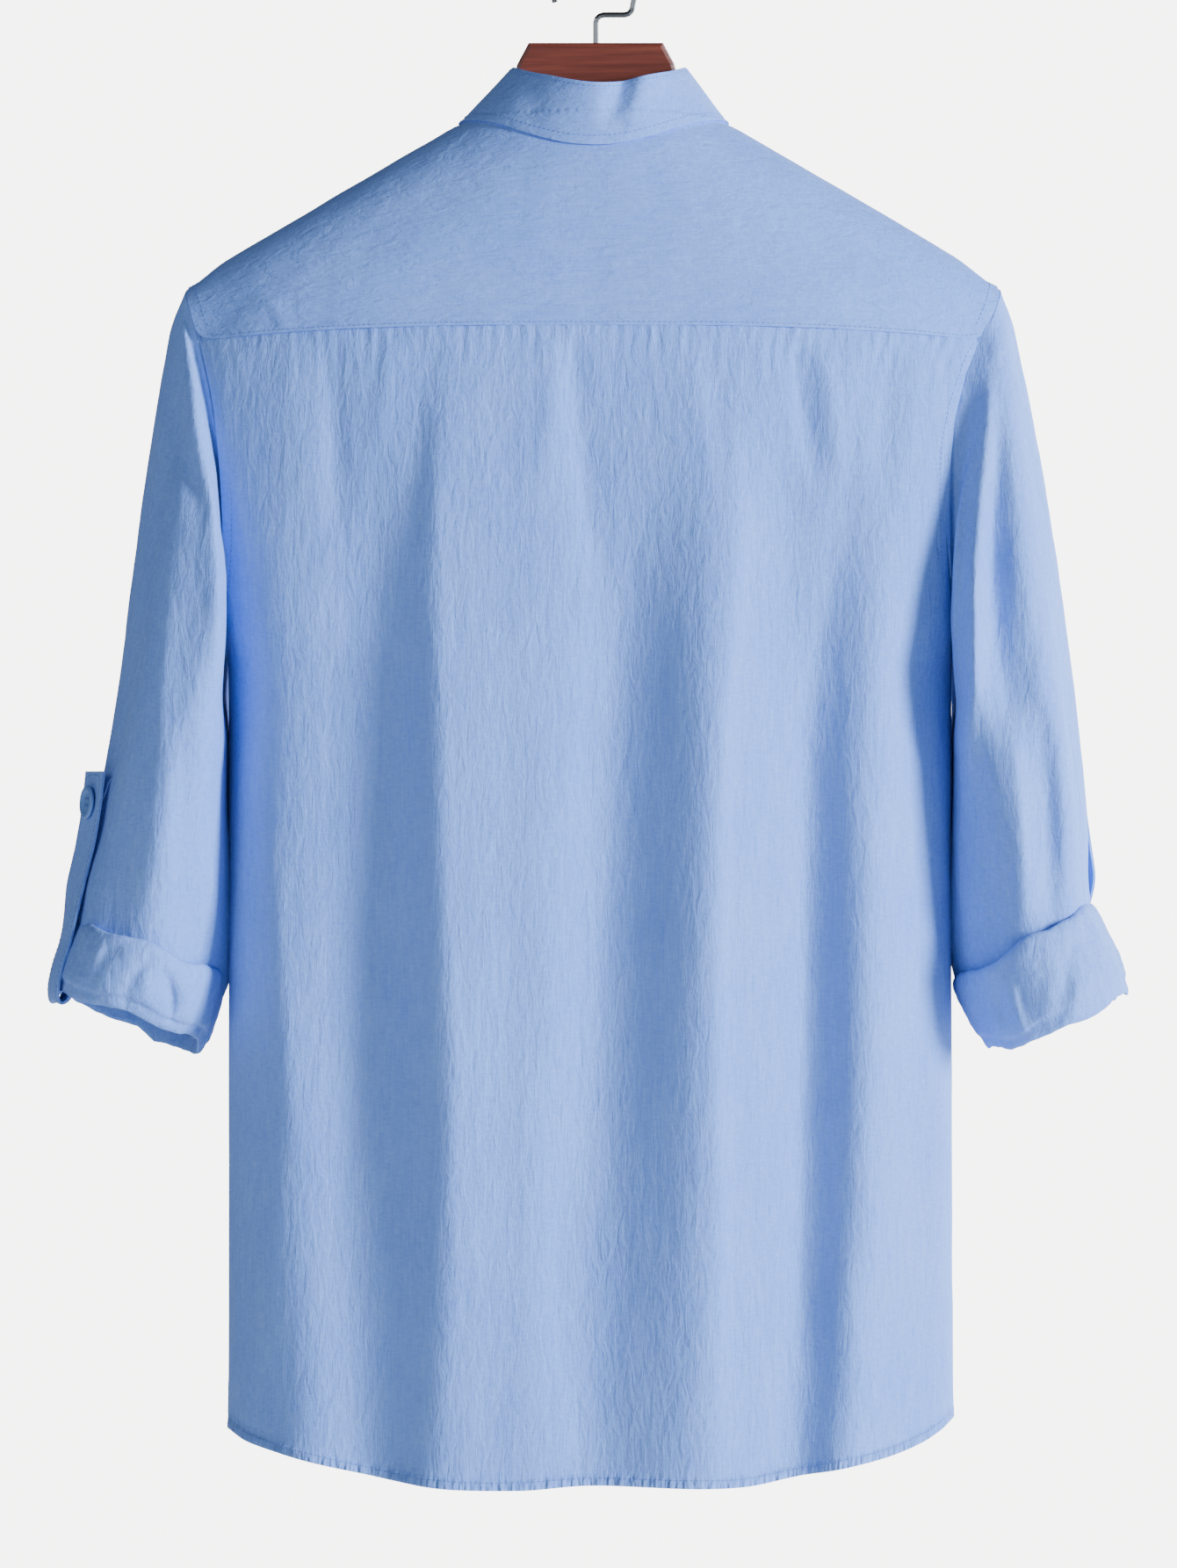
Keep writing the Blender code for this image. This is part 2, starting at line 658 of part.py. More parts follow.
def button_band(material):
    """The placket: the left front's edge, folded double, so it stands a little proud."""
    outer, inner = [], []
    for i in range(FRONT_TOPS + len(BAND_LEVELS)):
        row, inside = [], []
        for x in (-BAND_HALF, BAND_FOLD - BAND_HALF, 0.0, BAND_HALF - BAND_FOLD, BAND_HALF):
            if i < FRONT_TOPS:
                v = mix(front_top(x) + SEAM_ANGLE, 1.0, i / FRONT_TOPS)
            else:
                v = 1 + BAND_LEVELS[i - FRONT_TOPS]
            point = upright_point(x, v)
            left, right = edges(1, PANEL_TOP)
            normal = body_normal(1, 2 * (x - left) / (right - left) - 1, v)
            row.append(point + normal * BAND_RAISED)
            inside.append(point - normal * (WALL - BAND_CLEAR))
        outer.append(row)
        inner.append(inside)
    return cloth_wall("placket", outer, inner, material)


# Yoke

def front_corner_x():
    """Where the front yoke seam meets the neck's, found by halving."""
    low, high = 0.0, NECK_HALF_WIDTH
    for _ in range(30):
        middle = (low + high) / 2
        if neck_angle(1, middle) > YOKE_FRONT_ANGLE:
            low = middle
        else:
            high = middle
    return high


def yoke_columns():
    """Each column runs from the neck's seam to the yoke's outer edge: side, neck x, side share, outer angle."""
    front_x = front_corner_x()
    shoulders = {}
    for sign in (-1, 1):
        over = []
        for t in steps(0, 1, 4)[:-1]:
            neck_x = sign * mix(front_x, NECK_HALF_WIDTH, math.sin(t * math.pi / 2))
            over.append((1, neck_x, sign, YOKE_FRONT_ANGLE * (1 - t)))
        for t in steps(0, 1, 6):
            neck_x = sign * NECK_HALF_WIDTH * math.sin(math.radians(mix(90, YOKE_CORNER_TURN, t)))
            over.append((-1, neck_x, sign, t * math.pi / 2))
        shoulders[sign] = over
    back = []
    for t in steps(-1, 1, 24)[1:-1]:
        neck_x = NECK_HALF_WIDTH * math.sin(math.radians(YOKE_CORNER_TURN * t))
        back.append((-1, neck_x, t, math.pi / 2))
    return shoulders[-1] + back + shoulders[1][::-1]


def yoke(material):
    """A strip round the neck, from one front seam over the shoulder, across the back and over the other."""
    outer, inner = [], []
    for b in steps(0, 1, YOKE_ROWS):
        row, inside = [], []
        for side, neck_x, out_s, out_angle in yoke_columns():
            neck_a = neck_angle(side, neck_x)
            s = mix(across_at(side, neck_x, neck_a), out_s, b)
            angle = mix(neck_a, out_angle, b)
            row.append(shoulder_point(side, s, angle))
            inside.append(row[-1] - shoulder_normal(side, s, angle) * WALL)
        outer.append(row)
        inner.append(inside)
    return cloth_wall("yoke", outer, inner, material)


def shoulder_normal(side, s, angle):
    small = 0.01
    across = (shoulder_point(side, min(1.0, s + small), angle)
              - shoulder_point(side, max(-1.0, s - small), angle))
    down = (signed_shoulder(side, s, angle + small) - signed_shoulder(side, s, angle - small))
    return (across.cross(down) * side).normalized()


def signed_shoulder(side, s, angle):
    """Past the ridge, a negative angle is on the other side of the shoulders."""
    if angle >= 0:
        return shoulder_point(side, s, angle)
    return shoulder_point(-side, s, -angle)


# Collar

def collar_top(turn):
    """The top edge of the standing band; turn is 0 at the back's middle and +-pi at the front."""
    depth = COLLAR_TOP_BACK if math.cos(turn) >= 0 else COLLAR_TOP_FRONT
    degrees = min(180.0, abs(math.degrees(turn)))
    return Vector((COLLAR_TOP_SHIFT + COLLAR_TOP_HALF * math.sin(turn), -depth * math.cos(turn),
                   curve_at(COLLAR_TOP_Z["angle"], COLLAR_TOP_Z["z"], degrees)))


def collar(material):
    """One band, lapped at the front: its left end lies outside its right end."""
    grid = []
    turns = steps(-math.pi - COLLAR_LAP, math.pi + COLLAR_LAP, COLLAR_COLUMNS)
    for level in steps(1, 0, COLLAR_ROWS):
        row = []
        for turn in turns:
            around = math.atan2(math.sin(turn), math.cos(turn))
            foot = neck_point(around) + Vector((0, 0, SEAM_GAP * 2))
            top = collar_top(around)
            round_off = max(0.0, 1 - (math.pi + COLLAR_LAP - abs(turn)) / (2 * COLLAR_LAP))
            lowered = COLLAR_CORNER * (1 - math.sqrt(max(0.0, 1 - round_off ** 2)))
            height = (top - foot).length
            up = level * (1 - lowered / height)
            point = foot.lerp(top, up)
            outward = Vector((point.x / COLLAR_ROUND[0], point.y / COLLAR_ROUND[1], 0)).normalized()
            near_front = smooth((abs(turn) - COLLAR_LAP_FROM["turn"]) / COLLAR_LAP_FROM["over"])
            point += outward * (COLLAR_LAP_STEP / 2 * near_front * (1 if turn < 0 else -1))
            if math.cos(around) > 0:
                for foot_x, top_x, height_out, half in COLLAR_DENTS:
                    place = mix(foot_x, top_x, up)
                    point += outward * (height_out * up * bump(point.x, place, half))
            row.append(point)
        grid.append(row)
    normals = grid_normals(grid, False, False)
    return cloth_wall("collar", grid, moved(grid, normals, -COLLAR_WALL), material)


# Sleeves and their rolls

def armhole_line(side, sign, count):
    """Points down an armhole's seam from the shoulder's tip to the underarm, evenly spaced."""
    bottom = 1 + (PANEL_TOP - UNDERARM) / PANEL_DROP
    fine = [body_point(side, sign, v) for v in steps(0.0, 1.0, 12) + steps(1.0, bottom, 60)[1:]]
    lengths = [0.0]
    for a, b in zip(fine, fine[1:]):
        lengths.append(lengths[-1] + (b - a).length)
    line = []
    for share in steps(0, 1, count):
        target = share * lengths[-1]
        i = max(k for k in range(len(fine) - 1) if lengths[k] <= target + 1e-9)
        span = lengths[i + 1] - lengths[i]
        line.append(fine[i].lerp(fine[i + 1], (target - lengths[i]) / span))
    return line


def roll_frame(which):
    """A roll's centre, its way out from the body and its way up."""
    shape = ROLLS[which]
    sign = -1 if which == "left" else 1
    tilt = math.radians(shape["tilt"])
    out = Vector((sign * math.cos(tilt), 0, math.sin(tilt)))
    up = Vector((-sign * math.sin(tilt), 0, math.cos(tilt)))
    return Vector((sign * shape["x"], 0, shape["z"])), out, up


def roll_point(which, turn, away, up_share):
    """turn is 0 at the outer end and pi / 2 at the back; away is how far out from the inner face."""
    shape = ROLLS[which]
    centre, out, up = roll_frame(which)
    toward = Vector((0, -1, 0))
    base = out * (shape["half"] * math.cos(turn)) + toward * (shape["depth"] * math.sin(turn))
    normal = (out * (math.cos(turn) / shape["half"])
              + toward * (math.sin(turn) / shape["depth"])).normalized()
    height = shape["height"] + shape["taller"] * math.cos(turn)
    lift, bulge = 0.0, 0.0
    for degrees, raise_by, swell, half in ROLL_PUCKERS:
        gap = abs((math.degrees(turn) - degrees + 180) % 360 - 180)
        lift += raise_by * math.exp(-(gap / half) ** 2)
        bulge += swell * math.exp(-(gap / half) ** 2)
    outer_share = smooth(away / 5.0)
    point = centre + base + normal * (away + bulge * outer_share) + up * (up_share * height + lift)
    point.z -= shape["pitch"] * point.y
    return point


def sleeve_turns():
    return [2 * math.pi * j / SLEEVE_COLUMNS for j in range(SLEEVE_COLUMNS)]


def sleeve_base(which):
    """The sleeve's rings without folds: the armhole's, the fan down the arm, and those inside the roll."""
    sign = -1 if which == "left" else 1
    half = SLEEVE_COLUMNS // 2
    back = armhole_line(-1, sign, half)
    front = armhole_line(1, sign, half)
    ring = back + front[1:-1][::-1]
    apart = Vector((sign * SLEEVE_SEAM_GAP, 0, 0))
    rings = [[p + apart for p in ring]]
    for out_x, out_z, in_x, in_z, depth_back, depth_front, lean_back, lean_front in SLEEVES[which]:
        row = []
        for turn in sleeve_turns():
            c, s = math.cos(turn), math.sin(turn)
            depth = depth_back if s >= 0 else depth_front
            lean = lean_back if s >= 0 else lean_front
            x = (out_x + in_x) / 2 + (out_x - in_x) / 2 * c - lean * s * s
            y = -math.copysign(depth * abs(s) ** 0.9, s)
            row.append(Vector((sign * x, y, (out_z + in_z) / 2 + (out_z - in_z) / 2 * c)))
        rings.append(row)
    for up_share in (1.0, 0.0, -0.9):
        rings.append([roll_point(which, turn, -SEAM_GAP - 0.1, up_share) for turn in sleeve_turns()])
    return rings


def sleeve(which, material):
    rings = sleeve_base(which)
    normals = grid_normals(rings, True, which == "right")
    normals[0] = [Vector((0, n.y, n.z)).normalized() for n in normals[0]]
    folded = []
    last = len(rings) - 4
    for i, (ring, line) in enumerate(zip(rings, normals)):
        share = min(1.0, i / last)
        fade = smooth(i / 2.5) * (1.0 if i <= last else 0.0)
        row = []
        for point, normal, turn in zip(ring, line, sleeve_turns()):
            height = 0.0
            for top, foot, high, low, half in SLEEVE_FOLDS[which]:
                gap = abs((math.degrees(turn) - mix(top, foot, share) + 180) % 360 - 180)
                height += mix(high, low, share) * math.exp(-(gap / half) ** 2)
            row.append(point + normal * (height * fade))
        folded.append(row)
    inside = moved(folded, normals, -WALL)
    return cloth_wall("sleeve_" + which, folded, inside, material, closed=True)


def roll(which, material):
    """The sleeve's end with its cuff, turned up over itself: its folded layers share one wall."""
    bm = bmesh.new()
    rings = []
    for away, up_share in ROLL_SECTION:
        turns = [2 * math.pi * j / ROLL_COLUMNS for j in range(ROLL_COLUMNS)]
        rings.append([bm.verts.new(roll_point(which, turn, away, up_share) * MM) for turn in turns])
    for upper, lower in zip(rings, rings[1:] + rings[:1]):
        bridge(bm, upper, lower, True, which == "right")
    return finish_object(bm, "roll_" + which, material)


# Tabs and buttons

def tab_rows(which):
    """The tab's middle layer: hung from its button, then down over the roll, under its foot and up inside."""
    sign = -1 if which == "left" else 1
    place = TABS[which]
    facing = place["facing"]
    middle = math.radians(place["angle"]) * -facing
    shape = ROLLS[which]
    per_turn = math.hypot(shape["half"] * math.sin(middle), shape["depth"] * math.cos(middle))
    proud = SEAM_GAP + TAB_WALL / 2
    offsets = [t * TAB_WIDTH for t in steps(-0.5, 0.5, TAB_COLUMNS)]
    rows = []
    across = Vector((-sign * math.sin(place["slant"]), facing * math.cos(place["slant"]), 0))
    for out, depth, z in place["free"]:
        point = Vector((sign * out, facing * depth, z))
        rows.append([point + across * offset for offset in offsets])
    for away, outside, up_share in TAB_WRAP:
        rows.append([roll_point(which, middle - facing * offset / per_turn, away + outside * proud, up_share)
                     for offset in offsets])
    return rows


def tab(which, material):
    grid = tab_rows(which)
    normals = grid_normals(grid, False, True)
    outer = moved(grid, normals, TAB_WALL / 2)
    inner = moved(grid, normals, -TAB_WALL / 2)
    return cloth_wall("tab_" + which, outer, inner, material)


def button(name, sizes, point, direction, material):
    """A turned button with a raised rim, its back towards the cloth."""
    r, t, rim, dish = sizes["radius"], sizes["thick"], sizes["rim"], sizes["dish"]
    edge = BUTTON_BACK_EDGE
    profile = ((0, t - dish), (r - rim, t - dish), (r - rim / 2, t), (r, t - edge), (r - edge, 0), (0, 0))
    mesh = bpy.data.meshes.new(name)
    corners = [(x * MM, 0, z * MM) for x, z in profile]
    mesh.from_pydata(corners, [(i, i + 1) for i in range(len(profile) - 1)], [])
    piece = bpy.data.objects.new(name, mesh)
    PARTS.objects.link(piece)
    turn = piece.modifiers.new("turned", "SCREW")
    turn.steps = turn.render_steps = BUTTON_SIDES
    turn.use_merge_vertices = True
    turn.merge_threshold = 0.00005
    turn.use_smooth_shade = True
    piece.location = point * MM
    piece.rotation_mode = "QUATERNION"
    piece.rotation_quaternion = direction.to_track_quat("Z", "Y")
    piece.data.materials.append(material)
    return piece


def tab_button(which, material):
    first, second = tab_rows(which)[:2]
    down = (second[0] - first[0]).normalized()
    across = (first[-1] - first[0]).normalized()
    outward = across.cross(down)
    if outward.x * first[0].x < 0:
        outward = -outward
    middle = (first[0] + first[-1]) / 2 + down * TAB_BUTTON_DOWN
    seat = middle + outward * (TAB_WALL / 2 + BUTTON_LIFT["tab"])
    return button("tab_button_" + which, TAB_BUTTON, seat, outward, material)


def front_buttons(material):
    for i in range(BUTTONS_FRONT):
        z = BUTTON_TOP - BUTTON_STEP * i
        near = min((upright_point(0.0, v) for v in steps(0.8, 2.0, 600)), key=lambda p: abs(p.z - z))
        seat = Vector((0.0, near.y + BAND_RAISED + BUTTON_LIFT["front"], z))
        button(f"front_button_{i + 1}", FRONT_BUTTON, seat, Vector((0, 1, 0)), material)
    foot, top = neck_point(math.pi), collar_top(math.pi)
    lean = (top - foot).normalized()
    outward = Vector((0, lean.z, -lean.y)).normalized()
    seat = foot.lerp(top, 0.5) + outward * (COLLAR_LAP_STEP / 2 + BUTTON_LIFT["collar"])
    button("collar_button", FRONT_BUTTON, seat, outward, material)


# Hanger and hook

def hanger_outline():
    """Half of the flat hanger's outline, from the top's middle round to the bottom's middle."""
    half = [(0.0, HANGER_TOP), (HANGER_TOP_HALF, HANGER_TOP), HANGER_CHEEK]
    half += HANGER_NECK
    for x in steps(HANGER_SHOULDER_FROM, HANGER_TIP - HANGER_END[0][0], 6)[:-1]:
        half.append((x, ridge(x) - HANGER_CLEAR))
    tip_z = ridge(HANGER_TIP) - HANGER_CLEAR
    half += [(HANGER_TIP - x, tip_z - z) for x, z in HANGER_END]
    for x in steps(HANGER_TIP - HANGER_UNDER["from"], HANGER_UNDER["to"], 6):
        arm = mix(HANGER_UNDER["arm"], HANGER_ARM, x / HANGER_TIP)
        half.append((x, min(ridge(x) - HANGER_CLEAR - arm, HANGER_NECK_FOOT)))
    half.append((0.0, HANGER_NECK_FOOT + HANGER_UNDER["rise"]))
    return half


def hanger(material):
    half = hanger_outline()
    outline = half + [(-x, z) for x, z in half[-2:0:-1]]
    curve = bpy.data.curves.new("hanger", "CURVE")
    curve.dimensions = "2D"
    curve.fill_mode = "BOTH"
    spline = curve.splines.new("POLY")
    spline.points.add(len(outline) - 1)
    for target, (x, z) in zip(spline.points, outline):
        target.co = ((x + HANGER_SHIFT) * MM, z * MM, 0, 1)
    spline.use_cyclic_u = True
    curve.extrude = (HANGER_THICK / 2 - HANGER_EDGE) * MM
    curve.bevel_depth = HANGER_EDGE * MM
    curve.bevel_resolution = 1
    curve.offset = -HANGER_EDGE * MM
    piece = bpy.data.objects.new("hanger", curve)
    piece.rotation_euler = (math.pi / 2, 0, 0)
    piece.data.materials.append(material)
    PARTS.objects.link(piece)
    return piece


def hook_points():
    """The wire's middle line: up out of the wood, aside, then round over the rail to its open end."""
    stem = HANGER_SHIFT
    centre_z = HOOK_WIRE - HOOK_RADIUS
    points = [(stem, HANGER_TOP + SEAM_GAP), (stem, HANGER_TOP + HOOK_STEM_BEND)]
    for degrees in (180, 150, 120, 90):
        a = math.radians(degrees)
        points.append((stem + HOOK_BEND + HOOK_BEND * math.cos(a),
                       HOOK_JOG - HOOK_BEND + HOOK_BEND * math.sin(a)))
    side = HOOK_RADIUS - HOOK_SIDE_IN
    for degrees in (270, 300, 330, 350):
        a = math.radians(degrees)
        points.append((side - HOOK_BEND + HOOK_BEND * math.cos(a),
                       HOOK_JOG + HOOK_BEND + HOOK_BEND * math.sin(a)))
    for degrees in range(-12, int(HOOK_END_ANGLE) + 1, 9):
        a = math.radians(degrees)
        points.append((HOOK_RADIUS * math.cos(a), centre_z + HOOK_RADIUS * math.sin(a)))
    return points


def hook(material):
    curve = bpy.data.curves.new("hook", "CURVE")
    curve.dimensions = "3D"
    spline = curve.splines.new("POLY")
    points = hook_points()
    spline.points.add(len(points) - 1)
    for target, (x, z) in zip(spline.points, points):
        target.co = (x * MM, 0, z * MM, 1)
    spline.use_smooth = True
    curve.bevel_depth = HOOK_WIRE * MM
    curve.bevel_resolution = 2
    curve.use_fill_caps = True
    piece = bpy.data.objects.new("hook", curve)
    piece.data.materials.append(material)
    PARTS.objects.link(piece)
    return piece


def clear_scene():
    for piece in list(bpy.data.objects):
        bpy.data.objects.remove(piece)


def main():
    cloth = make_material("cotton poplin", COLOURS["cloth"], 0.85)
    resin = make_material("dyed resin", COLOURS["button"], 0.35)
    wood = make_material("varnished mahogany", COLOURS["wood"], 0.4)
    metal = make_material("dark nickel", COLOURS["metal"], 0.3, 1.0)
    back_panel(cloth)
    fronts(cloth)
    button_band(cloth)
    yoke(cloth)
    collar(cloth)
    for which in ("left", "right"):
        sleeve(which, cloth)
        roll(which, cloth)
        tab(which, cloth)
        tab_button(which, resin)
    front_buttons(resin)
    hanger(wood)
    hook(metal)


clear_scene()
PARTS = bpy.data.collections.new(TITLE)
bpy.context.scene.collection.children.link(PARTS)
main()
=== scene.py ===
import math

import bmesh
import bpy
import numpy as np
from bpy.props import FloatProperty, FloatVectorProperty, PointerProperty
from mathutils import Matrix, Vector, noise
from mathutils.bvhtree import BVHTree
from mathutils.kdtree import KDTree


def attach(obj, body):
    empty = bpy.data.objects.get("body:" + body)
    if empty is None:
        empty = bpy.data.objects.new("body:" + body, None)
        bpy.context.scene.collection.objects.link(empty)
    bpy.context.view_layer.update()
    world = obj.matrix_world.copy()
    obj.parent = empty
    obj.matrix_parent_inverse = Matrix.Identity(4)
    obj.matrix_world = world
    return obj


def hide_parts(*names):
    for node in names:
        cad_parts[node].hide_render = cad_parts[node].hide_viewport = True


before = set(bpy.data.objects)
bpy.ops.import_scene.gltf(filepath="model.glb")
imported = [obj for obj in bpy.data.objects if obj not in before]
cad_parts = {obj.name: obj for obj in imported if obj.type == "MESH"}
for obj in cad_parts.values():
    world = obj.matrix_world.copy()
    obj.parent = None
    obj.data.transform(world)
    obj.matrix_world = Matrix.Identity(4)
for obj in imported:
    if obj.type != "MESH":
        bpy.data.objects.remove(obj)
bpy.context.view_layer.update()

bl_info = {
    "name": "Mandarin collar shirt",
    "version": (1, 0, 0),
    "blender": (4, 5, 0),
    "location": "3D View > Sidebar > Shirt",
    "description": "Dresses the shirt's solids with cloth, stitches, buttons and wood",
    "category": "Object",
}

MM = 0.001

# The part's own walls, in millimetres: an edge this long crosses a wall from one skin to the other.
WALL_EDGES = ((1.35, 1.75), (1.95, 2.35))
WELD = 0.02
HOLE_SIDES = 6

# Places on the shirt, in millimetres in the frame's own axes.
PANEL_SEAMS = -275.0  # a panel's border above this is sewn, to the yoke or to a sleeve's head
YOKE_SEAMS = -206.0  # the yoke's back border lies below this
NECK_REACH = 84.0  # the yoke's border this near the axis is the neck
SLEEVE_SEAMS = -415.0  # a sleeve's border above this is sewn to the body
HEM_TOP = -770.0  # a panel's border below this is its hem
HEM_FOLD = 5.6  # how far the turned hem reaches up from the edge
BACK_SIDE = -20.0  # points with a lower Y than this lie on the shirt's back
ROLL_MIDDLE = (258.0, -590.0)  # the middle of a rolled end: out from the axis, and height
STRAPS = {"left": -292.0, "right": 340.0}  # where a tab lies on the back of its roll, past its end for none

# Thickness of the pieces that are sewn from several layers, in millimetres.
COLLAR_LAYERS = 2.0
PLACKET_LAYERS = 1.6
TAB_LAYERS = 1.5

# Soft creases of each cloth piece in millimetres. Columns: width on the left and on the right, height
# (below 0 for a trough), then the points x, z that the crease runs through.
CREASES = {
    "back_panel": (
        # the deep folds
        (16, 22, -1.6, (-108, -330), (-112, -480), (-118, -640), (-100, -780), (-104, -860)),
        (14, 6, 1.8, (-90, -300), (-86, -380), (-84, -530), (-78, -650), (-80, -730), (-86, -860)),
        (18, 26, -4.2, (50, -290), (22, -360), (8, -470), (2, -620), (-14, -740), (2, -870)),
        (22, 7, 4.2, (74, -260), (80, -340), (70, -440), (66, -620), (68, -740), (66, -870)),
        (10, 20, -5.4, (156, -250), (134, -360), (122, -450), (121, -640), (118, -760), (112, -870)),
        (14, 16, 2.4, (172, -260), (164, -380), (163, -600), (156, -740), (146, -870)),
        # the shorter ones below the yoke
        (8, 10, -3.0, (-12, -232), (-8, -270), (-4, -310), (2, -360)),
        (7, 9, 1.6, (-22, -232), (-24, -265), (-30, -310)),
        (7, 9, -2.6, (-147, -240), (-145, -280), (-142, -330)),
        (7, 9, -2.8, (114, -240), (118, -270), (124, -306)),
        (6, 6, 1.5, (128, -236), (132, -262), (137, -296)),
        (8, 10, -1.8, (66, -236), (70, -270), (74, -310)),
        (10, 10, -2.4, (-94, -238), (-97, -280), (-102, -340)),
        (6, 6, 1.2, (-113, -234), (-120, -285)),
        (8, 8, -1.8, (170, -238), (165, -270), (160, -326)),
        # the fine ones low down
        (9, 7, 1.3, (-186, -450), (-176, -560), (-166, -690)),
        (9, 9, 1.2, (-180, -700), (-186, -790), (-188, -860)),
        (5, 5, -0.9, (-56, -842), (-84, -847), (-132, -846)),
        (12, 12, -1.4, (-128, -560), (-134, -700)),
        (8, 10, 1.4, (192, -560), (194, -700), (190, -820)),
    ),
    "front_left": (
        (10, 10, -1.6, (-60, -250), (-66, -420)),
        (12, 12, -1.8, (-110, -300), (-104, -520)),
        (12, 12, 1.8, (-150, -420), (-138, -640)),
        (9, 9, -1.4, (-40, -560), (-46, -760)),
        (10, 10, 1.6, (-86, -620), (-92, -850)),
        (6, 8, -1.2, (-176, -250), (-168, -330), (-150, -400)),
    ),
    "front_right": (
        (10, 10, -1.7, (58, -260), (66, -430)),
        (12, 12, -1.9, (112, -310), (104, -560)),
        (12, 12, 1.7, (156, -430), (142, -660)),
        (9, 9, -1.5, (44, -600), (40, -790)),
        (10, 10, 1.5, (92, -640), (98, -850)),
        (6, 8, -1.2, (178, -252), (170, -330), (152, -410)),
    ),
    "yoke": (
        (4, 4, 1.1, (-188, -205), (-179, -209), (-174, -219)),
        (14, 14, -0.8, (-60, -130), (-150, -190)),
        (14, 14, -0.9, (70, -130), (150, -186)),
        (18, 18, -0.6, (0, -150), (4, -205)),
    ),
    "collar": (
        (6, 4, -2.4, (19, -70), (15, -84), (10, -102)),
        (4, 7, 2.0, (30, -70), (26, -84), (20, -104)),
        (8, 8, -0.8, (-40, -76), (-34, -98)),
    ),
    "sleeve_left": (
        # the fold that stands beside the armhole, and the valley behind it
        (1.8, 3.6, -6.5, (-230.2, -213), (-224.8, -236), (-218.4, -265), (-214, -286), (-211, -304),
         (-208.5, -327), (-206.5, -352), (-204.6, -392), (-202.5, -450)),
        (8, 2.2, 3.5, (-232.5, -212), (-227.2, -236), (-221, -265), (-216.5, -286), (-213.5, -304),
         (-211, -327), (-209, -352), (-207, -392), (-205, -451), (-205, -520)),
        (8, 5, -4.4, (-238, -250), (-231, -292), (-222, -314), (-219, -325)),
        (10, 12, -3.0, (-256, -300), (-260, -400), (-264, -500), (-264, -560)),
        (11, 10, 2.6, (-238, -330), (-242, -430), (-246, -550)),
        (6, 7, -2.8, (-226, -450), (-230, -510), (-233, -560)),
    ),
    "sleeve_right": (
        # the deep valley beside the body, and the folds that run down from the armhole
        (8, 6, -8.0, (210, -258), (206, -310), (204, -370), (203, -430), (203, -500)),
        (5, 4.5, 6.0, (223, -250), (219.5, -296), (216, -324), (213, -354), (211, -390), (209, -450),
         (205, -546)),
        (6, 9, -5.0, (228, -246), (224, -320), (222, -400), (224, -460)),
        (28, 12, 15.0, (246, -236), (258, -330), (266, -400), (274, -480), (278, -550)),
        (6, 5, 3.6, (236, -440), (239, -500), (241, -556)),
        (6, 7, -4.2, (251, -440), (254, -500), (256, -556)),
    ),
    "roll_left": (
        (3, 3, -3.5, (-237, -608), (-236, -596), (-238, -585)),
        (6, 6, 2.2, (-227, -606), (-225, -592)),
        (5, 5, 1.8, (-247, -602), (-250, -586)),
        (3, 3, -1.3, (-262, -600), (-256, -584), (-246, -574)),
        (4, 3, -1.4, (-282, -592), (-272, -572), (-262, -566)),
        (4, 4, 1.2, (-296, -580), (-284, -560)),
        (2.5, 2.5, -1.0, (-222, -582), (-230, -576)),
    ),
    "roll_right": (
        (3, 3, -1.8, (224, -592), (232, -606), (240, -622)),
        (3, 4, 1.6, (229, -586), (239, -602), (247, -618)),
        (2.5, 2.5, -1.4, (236, -588), (244, -606)),
        (3, 3, 1.2, (222, -604), (226, -618)),
        (4, 4, -1.2, (252, -612), (262, -590), (268, -566)),
        (5, 5, 1.3, (262, -608), (274, -584)),
        (3, 3, -1.3, (286, -604), (280, -590)),
        (2, 2, -1.0, (274, -556), (282, -580), (291, -600)),
    ),
}

# How far the lower edge of each roll hangs below the solid's: places across, and drops there.
ROLL_DROPS = {
    "left": ((-275, -265, -255, -245, -235, -225, -215, -208), (0, 0.6, 8, 7, 6, 6, 4, 1)),
    "right": ((205, 215, 225, 235, 245, 255, 265, 275, 285, 295), (0, 2, 6.5, 9, 7.5, 9.4, 7, 6.5, 3.5, 0.5)),
}


# Meshes

def smooth(t):
    """A soft step from 0 to 1."""
    t = min(1.0, max(0.0, t))
    return t * t * (3 - 2 * t)


def mesh_object(name, bm):
    mesh = bpy.data.meshes.new(name)
    bm.to_mesh(mesh)
    bm.free()
    piece = bpy.data.objects.new(name, mesh)
    bpy.context.scene.collection.objects.link(piece)
    return piece


def connected(bm):
    """The mesh's faces in groups that touch each other."""
    left = set(bm.faces)
    groups = []
    while left:
        queue = [left.pop()]
        group = list(queue)
        while queue:
            for edge in queue.pop().edges:
                for face in edge.link_faces:
                    if face in left:
                        left.remove(face)
                        queue.append(face)
                        group.append(face)
        groups.append(group)
    return groups


def facing_out(group):
    """Above 0 for a skin that faces away from its own middle."""
    area = sum(f.calc_area() for f in group)
    middle = sum((f.calc_center_median() * f.calc_area() for f in group), Vector()) / area
    return sum(f.calc_area() * f.normal.dot(f.calc_center_median() - middle) for f in group)


def welded(node):
    bm = bmesh.new()
    bm.from_mesh(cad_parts[node].data)
    bmesh.ops.remove_doubles(bm, verts=bm.verts, dist=WELD * MM)
    return bm


def to_quads(bm):
    bmesh.ops.join_triangles(bm, faces=bm.faces, angle_face_threshold=1.2, angle_shape_threshold=2.4)


